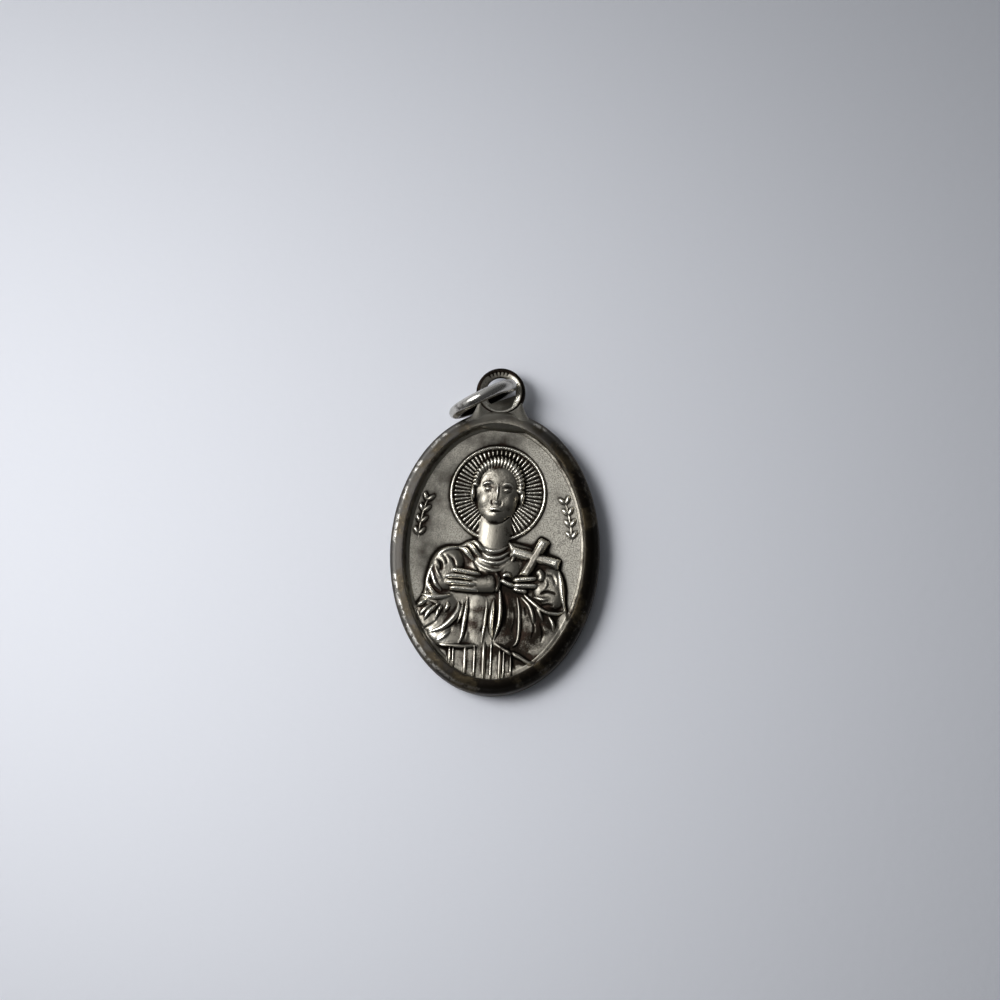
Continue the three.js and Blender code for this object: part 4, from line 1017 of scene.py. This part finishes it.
# The jump ring.
# Round silver-plated wire, wound, cut and closed through the eye. It stands on the table and leans a
# little in the eye, which holds it up.

RING_DIAMETER = 5.7
RING_TURN = math.radians(28)
RING_LEAN = math.radians(5)
RING_CUT = math.radians(0.8)
RING_CUT_PLACE = math.radians(-52)
RING_STEPS = 160
WIRE_SIDES = 28
ring_low, ring_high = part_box("jump_ring")
ring_middle = (Vector(ring_low) + Vector(ring_high)) / 2

ring_tree = bpy.data.node_groups.new("bent_wire_ring", "GeometryNodeTree")
ring_tree.interface.new_socket("Geometry", in_out="INPUT", socket_type="NodeSocketGeometry")
ring_sockets = {}
for name, kind in (
    ("Middle Radius", "Float"),
    ("Wire Radius", "Float"),
    ("Cut Place", "Float"),
    ("Sweep", "Float"),
    ("Tip", "Float"),
    ("Turn", "Float"),
    ("Place", "Vector"),
    ("Metal", "Material"),
):
    socket = ring_tree.interface.new_socket(name, in_out="INPUT", socket_type="NodeSocket" + kind)
    ring_sockets[name] = socket.identifier
ring_tree.interface.new_socket("Geometry", in_out="OUTPUT", socket_type="NodeSocketGeometry")
nodes = ring_tree.nodes
links = ring_tree.links
ring_in = nodes.new("NodeGroupInput").outputs

# A round wire section swept round the arc
bend = nodes.new("GeometryNodeCurveArc")
bend.inputs["Resolution"].default_value = RING_STEPS
links.new(ring_in["Middle Radius"], bend.inputs["Radius"])
links.new(ring_in["Cut Place"], bend.inputs["Start Angle"])
links.new(ring_in["Sweep"], bend.inputs["Sweep Angle"])
section = nodes.new("GeometryNodeCurvePrimitiveCircle")
section.inputs["Resolution"].default_value = WIRE_SIDES
links.new(ring_in["Wire Radius"], section.inputs["Radius"])
sweep = nodes.new("GeometryNodeCurveToMesh")
sweep.inputs["Fill Caps"].default_value = True
links.new(bend.outputs["Curve"], sweep.inputs["Curve"])
links.new(section.outputs["Curve"], sweep.inputs["Profile Curve"])

# How far towards the ring's middle each point of the wire lies
position = nodes.new("GeometryNodeInputPosition")
flatten = nodes.new("ShaderNodeVectorMath")
flatten.operation = "MULTIPLY"
flatten.inputs[1].default_value = (1, 1, 0)
from_axis = nodes.new("ShaderNodeVectorMath")
from_axis.operation = "LENGTH"
links.new(position.outputs["Position"], flatten.inputs[0])
links.new(flatten.outputs["Vector"], from_axis.inputs[0])
inward = minus(ring_tree, ring_in["Middle Radius"], from_axis.outputs["Value"])
mark_inside = nodes.new("GeometryNodeStoreNamedAttribute")
mark_inside.data_type = "FLOAT"
mark_inside.domain = "POINT"
mark_inside.inputs["Name"].default_value = "inward"
links.new(put_together(ring_tree, "DIVIDE", (inward, ring_in["Wire Radius"])), mark_inside.inputs["Value"])

# The ring is tipped up on its edge, then turned and put in its place.
upright = nodes.new("ShaderNodeCombineXYZ")
links.new(ring_in["Tip"], upright.inputs["X"])
stand = nodes.new("GeometryNodeTransform")
links.new(upright.outputs["Vector"], stand.inputs["Rotation"])
heading = nodes.new("ShaderNodeCombineXYZ")
links.new(ring_in["Turn"], heading.inputs["Z"])
settle = nodes.new("GeometryNodeTransform")
links.new(heading.outputs["Vector"], settle.inputs["Rotation"])
links.new(ring_in["Place"], settle.inputs["Translation"])
smooth = nodes.new("GeometryNodeSetShadeSmooth")
real = nodes.new("GeometryNodeRealizeInstances")
finish = nodes.new("GeometryNodeSetMaterial")
links.new(ring_in["Metal"], finish.inputs["Material"])
steps = [mark_inside, stand, settle, smooth, real, finish, nodes.new("NodeGroupOutput")]
links.new(sweep.outputs["Mesh"], mark_inside.inputs["Geometry"])
for earlier, later in zip(steps, steps[1:]):
    links.new(earlier.outputs["Geometry"], later.inputs["Geometry"])

WIRE_SILVER = (0.6, 0.58, 0.54)
BROWN_TARNISH = (0.045, 0.034, 0.025)
WIRE_GRAINS_PER_METRE = 2600

ring_metal, tree, shader = new_material("ring_wire")
blotches, grain = add_tarnish(tree, BLOTCHES_PER_METRE, WIRE_GRAINS_PER_METRE)
plated_wire = mix_colour(tree, ramp(tree, blotches, 0.5, 0.72), WIRE_SILVER, BROWN_TARNISH)
# The wire is painted black towards the ring's middle in ragged edges: painted shade inside the ring.
ragged_inner_shade = plus(tree, painted_value(tree, "inward"), times(tree, blotches, 0.5))
wire_colour = mix_colour(tree, ramp(tree, ragged_inner_shade, 0.5, 0.95), plated_wire, PATINA_AND_SHADE_BLACK)
tree.links.new(wire_colour, shader.inputs["Base Color"])
shader.inputs["Metallic"].default_value = 0.97
tree.links.new(plus(tree, times(tree, grain, 0.16), 0.16), shader.inputs["Roughness"])
add_bump(tree, shader, grain, 0.2, 0.01 * MM)

wire_carrier = bpy.data.objects.new("wire_carrier", bpy.data.meshes.new("wire_carrier"))
bpy.context.collection.objects.link(wire_carrier)
modifier = wire_carrier.modifiers.new("bend", "NODES")
modifier.node_group = ring_tree
for name, value in {
    "Middle Radius": (RING_DIAMETER - RING_WIRE) / 2 * MM,
    "Wire Radius": RING_WIRE / 2 * MM,
    "Cut Place": RING_CUT_PLACE,
    "Sweep": 2 * math.pi - RING_CUT,
    "Tip": math.pi / 2 + RING_LEAN,
    "Turn": RING_TURN,
    "Place": tuple(ring_middle),
    "Metal": ring_metal,
}.items():
    modifier[ring_sockets[name]] = value
evaluated = wire_carrier.evaluated_get(bpy.context.evaluated_depsgraph_get())
ring_mesh = bpy.data.meshes.new_from_object(evaluated)
ring_mesh.name = "wire_ring"
bpy.data.objects.remove(wire_carrier)
wire_ring = bpy.data.objects.new("wire_ring", ring_mesh)
bpy.context.collection.objects.link(wire_ring)

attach(wire_ring, "root")
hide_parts("jump_ring")


# The table.
# A sheet of plain white card with a faint tooth. It isn't part of the object, which only lies on it.

TABLE_HALF = 0.6
CARD_WHITE = (0.8, 0.81, 0.85, 1)
TOOTH_PER_METRE = 1400

table_mesh = bpy.data.meshes.new("table")
corners = [(x * TABLE_HALF, y * TABLE_HALF, 0) for x, y in ((-1, -1), (1, -1), (1, 1), (-1, 1))]
table_mesh.from_pydata(corners, [], [(0, 1, 2, 3)])
table = bpy.data.objects.new("table", table_mesh)
bpy.context.collection.objects.link(table)
card, tree, shader = new_material("card")
coordinates = tree.nodes.new("ShaderNodeTexCoord")
tooth = tree.nodes.new("ShaderNodeTexNoise")
tooth.inputs["Scale"].default_value = TOOTH_PER_METRE
tooth.inputs["Detail"].default_value = 4
tree.links.new(coordinates.outputs["Object"], tooth.inputs["Vector"])
shader.inputs["Base Color"].default_value = CARD_WHITE
shader.inputs["Roughness"].default_value = 0.85
add_bump(tree, shader, tooth.outputs["Fac"], 0.35, 0.06 * MM)
table_mesh.materials.append(card)


# The light.
# One large soft window to the left and a little above, and the dim rest of the room.

WINDOW_PLACE = Vector((-0.113, 0.024, 0.13))
WINDOW_AIM = Vector((-0.038, -0.001, 0))
WINDOW_WIDTH = 0.1
WINDOW_HEIGHT = 0.12
WINDOW_WATTS = 0.0335
WINDOW_COLOUR = (0.98, 0.985, 1)
WINDOW_SPREAD = math.radians(54)
ROOM_COLOUR = (0.93, 0.96, 1, 1)
ROOM_DARKEST = 0.08
ROOM_LIGHTEST = 0.5

window_light = bpy.data.lights.new("window", "AREA")
window_light.shape = "RECTANGLE"
window_light.size = WINDOW_WIDTH
window_light.size_y = WINDOW_HEIGHT
window_light.energy = WINDOW_WATTS
window_light.color = WINDOW_COLOUR
window_light.spread = WINDOW_SPREAD
window = bpy.data.objects.new("window", window_light)
window.location = WINDOW_PLACE
window.rotation_euler = (WINDOW_AIM - WINDOW_PLACE).to_track_quat("-Z", "Y").to_euler()
bpy.context.collection.objects.link(window)

# The room is lighter on the window's side and dark on the other.
room = bpy.data.worlds.new("room")
room.use_nodes = True
tree = room.node_tree
direction = tree.nodes.new("ShaderNodeTexCoord")
split = tree.nodes.new("ShaderNodeSeparateXYZ")
tree.links.new(direction.outputs["Generated"], split.inputs["Vector"])
leftwards = times(tree, split.outputs["X"], -0.9)
upwards = times(tree, split.outputs["Y"], 0.55)
towards_window = tree.nodes.new("ShaderNodeMapRange")
towards_window.inputs["From Min"].default_value = -0.22
towards_window.inputs["From Max"].default_value = 0.9
towards_window.inputs["To Min"].default_value = ROOM_DARKEST
towards_window.inputs["To Max"].default_value = ROOM_LIGHTEST
tree.links.new(plus(tree, leftwards, upwards), towards_window.inputs["Value"])
tree.links.new(towards_window.outputs["Result"], tree.nodes["Background"].inputs["Strength"])
tree.nodes["Background"].inputs["Color"].default_value = ROOM_COLOUR
bpy.context.scene.world = room
bpy.context.scene.view_settings.view_transform = "Standard"
bpy.context.scene.view_settings.look = "Medium High Contrast"


# The camera.
# It looks almost straight down on the medal, a little from the side of its foot.

PIXELS_PER_MM = 13.02
IMAGE_PIXELS = 1000
OVAL_CENTRE_PIXEL = (494.7, 552.6)
CAMERA_DISTANCE = 0.26
CAMERA_TILT = math.radians(10)
CAMERA_TILT_TOWARDS = math.radians(-70)
CAMERA_ROLL = math.radians(2.2)

oval_centre = Vector((0, shift_y * MM, RIM_THICKNESS * 0.6 * MM))
sideways = math.sin(CAMERA_TILT)
away = Vector((
    sideways * math.cos(CAMERA_TILT_TOWARDS),
    sideways * math.sin(CAMERA_TILT_TOWARDS),
    math.cos(CAMERA_TILT),
))
picture_up = Vector((-math.sin(CAMERA_ROLL), math.cos(CAMERA_ROLL), 0))
right = picture_up.cross(away).normalized()
up = away.cross(right)
off_right = (IMAGE_PIXELS / 2 - OVAL_CENTRE_PIXEL[0]) / PIXELS_PER_MM * MM
off_up = (OVAL_CENTRE_PIXEL[1] - IMAGE_PIXELS / 2) / PIXELS_PER_MM * MM
camera_data = bpy.data.cameras.new("camera")
camera_data.sensor_width = 36
camera_data.lens = camera_data.sensor_width * CAMERA_DISTANCE / MM * PIXELS_PER_MM / IMAGE_PIXELS
camera_data.clip_start = 0.01
camera = bpy.data.objects.new("camera", camera_data)
place = oval_centre + away * CAMERA_DISTANCE + right * off_right + up * off_up
camera.matrix_world = Matrix.Translation(place) @ Matrix((right, up, away)).transposed().to_4x4()
bpy.context.collection.objects.link(camera)
bpy.context.scene.camera = camera
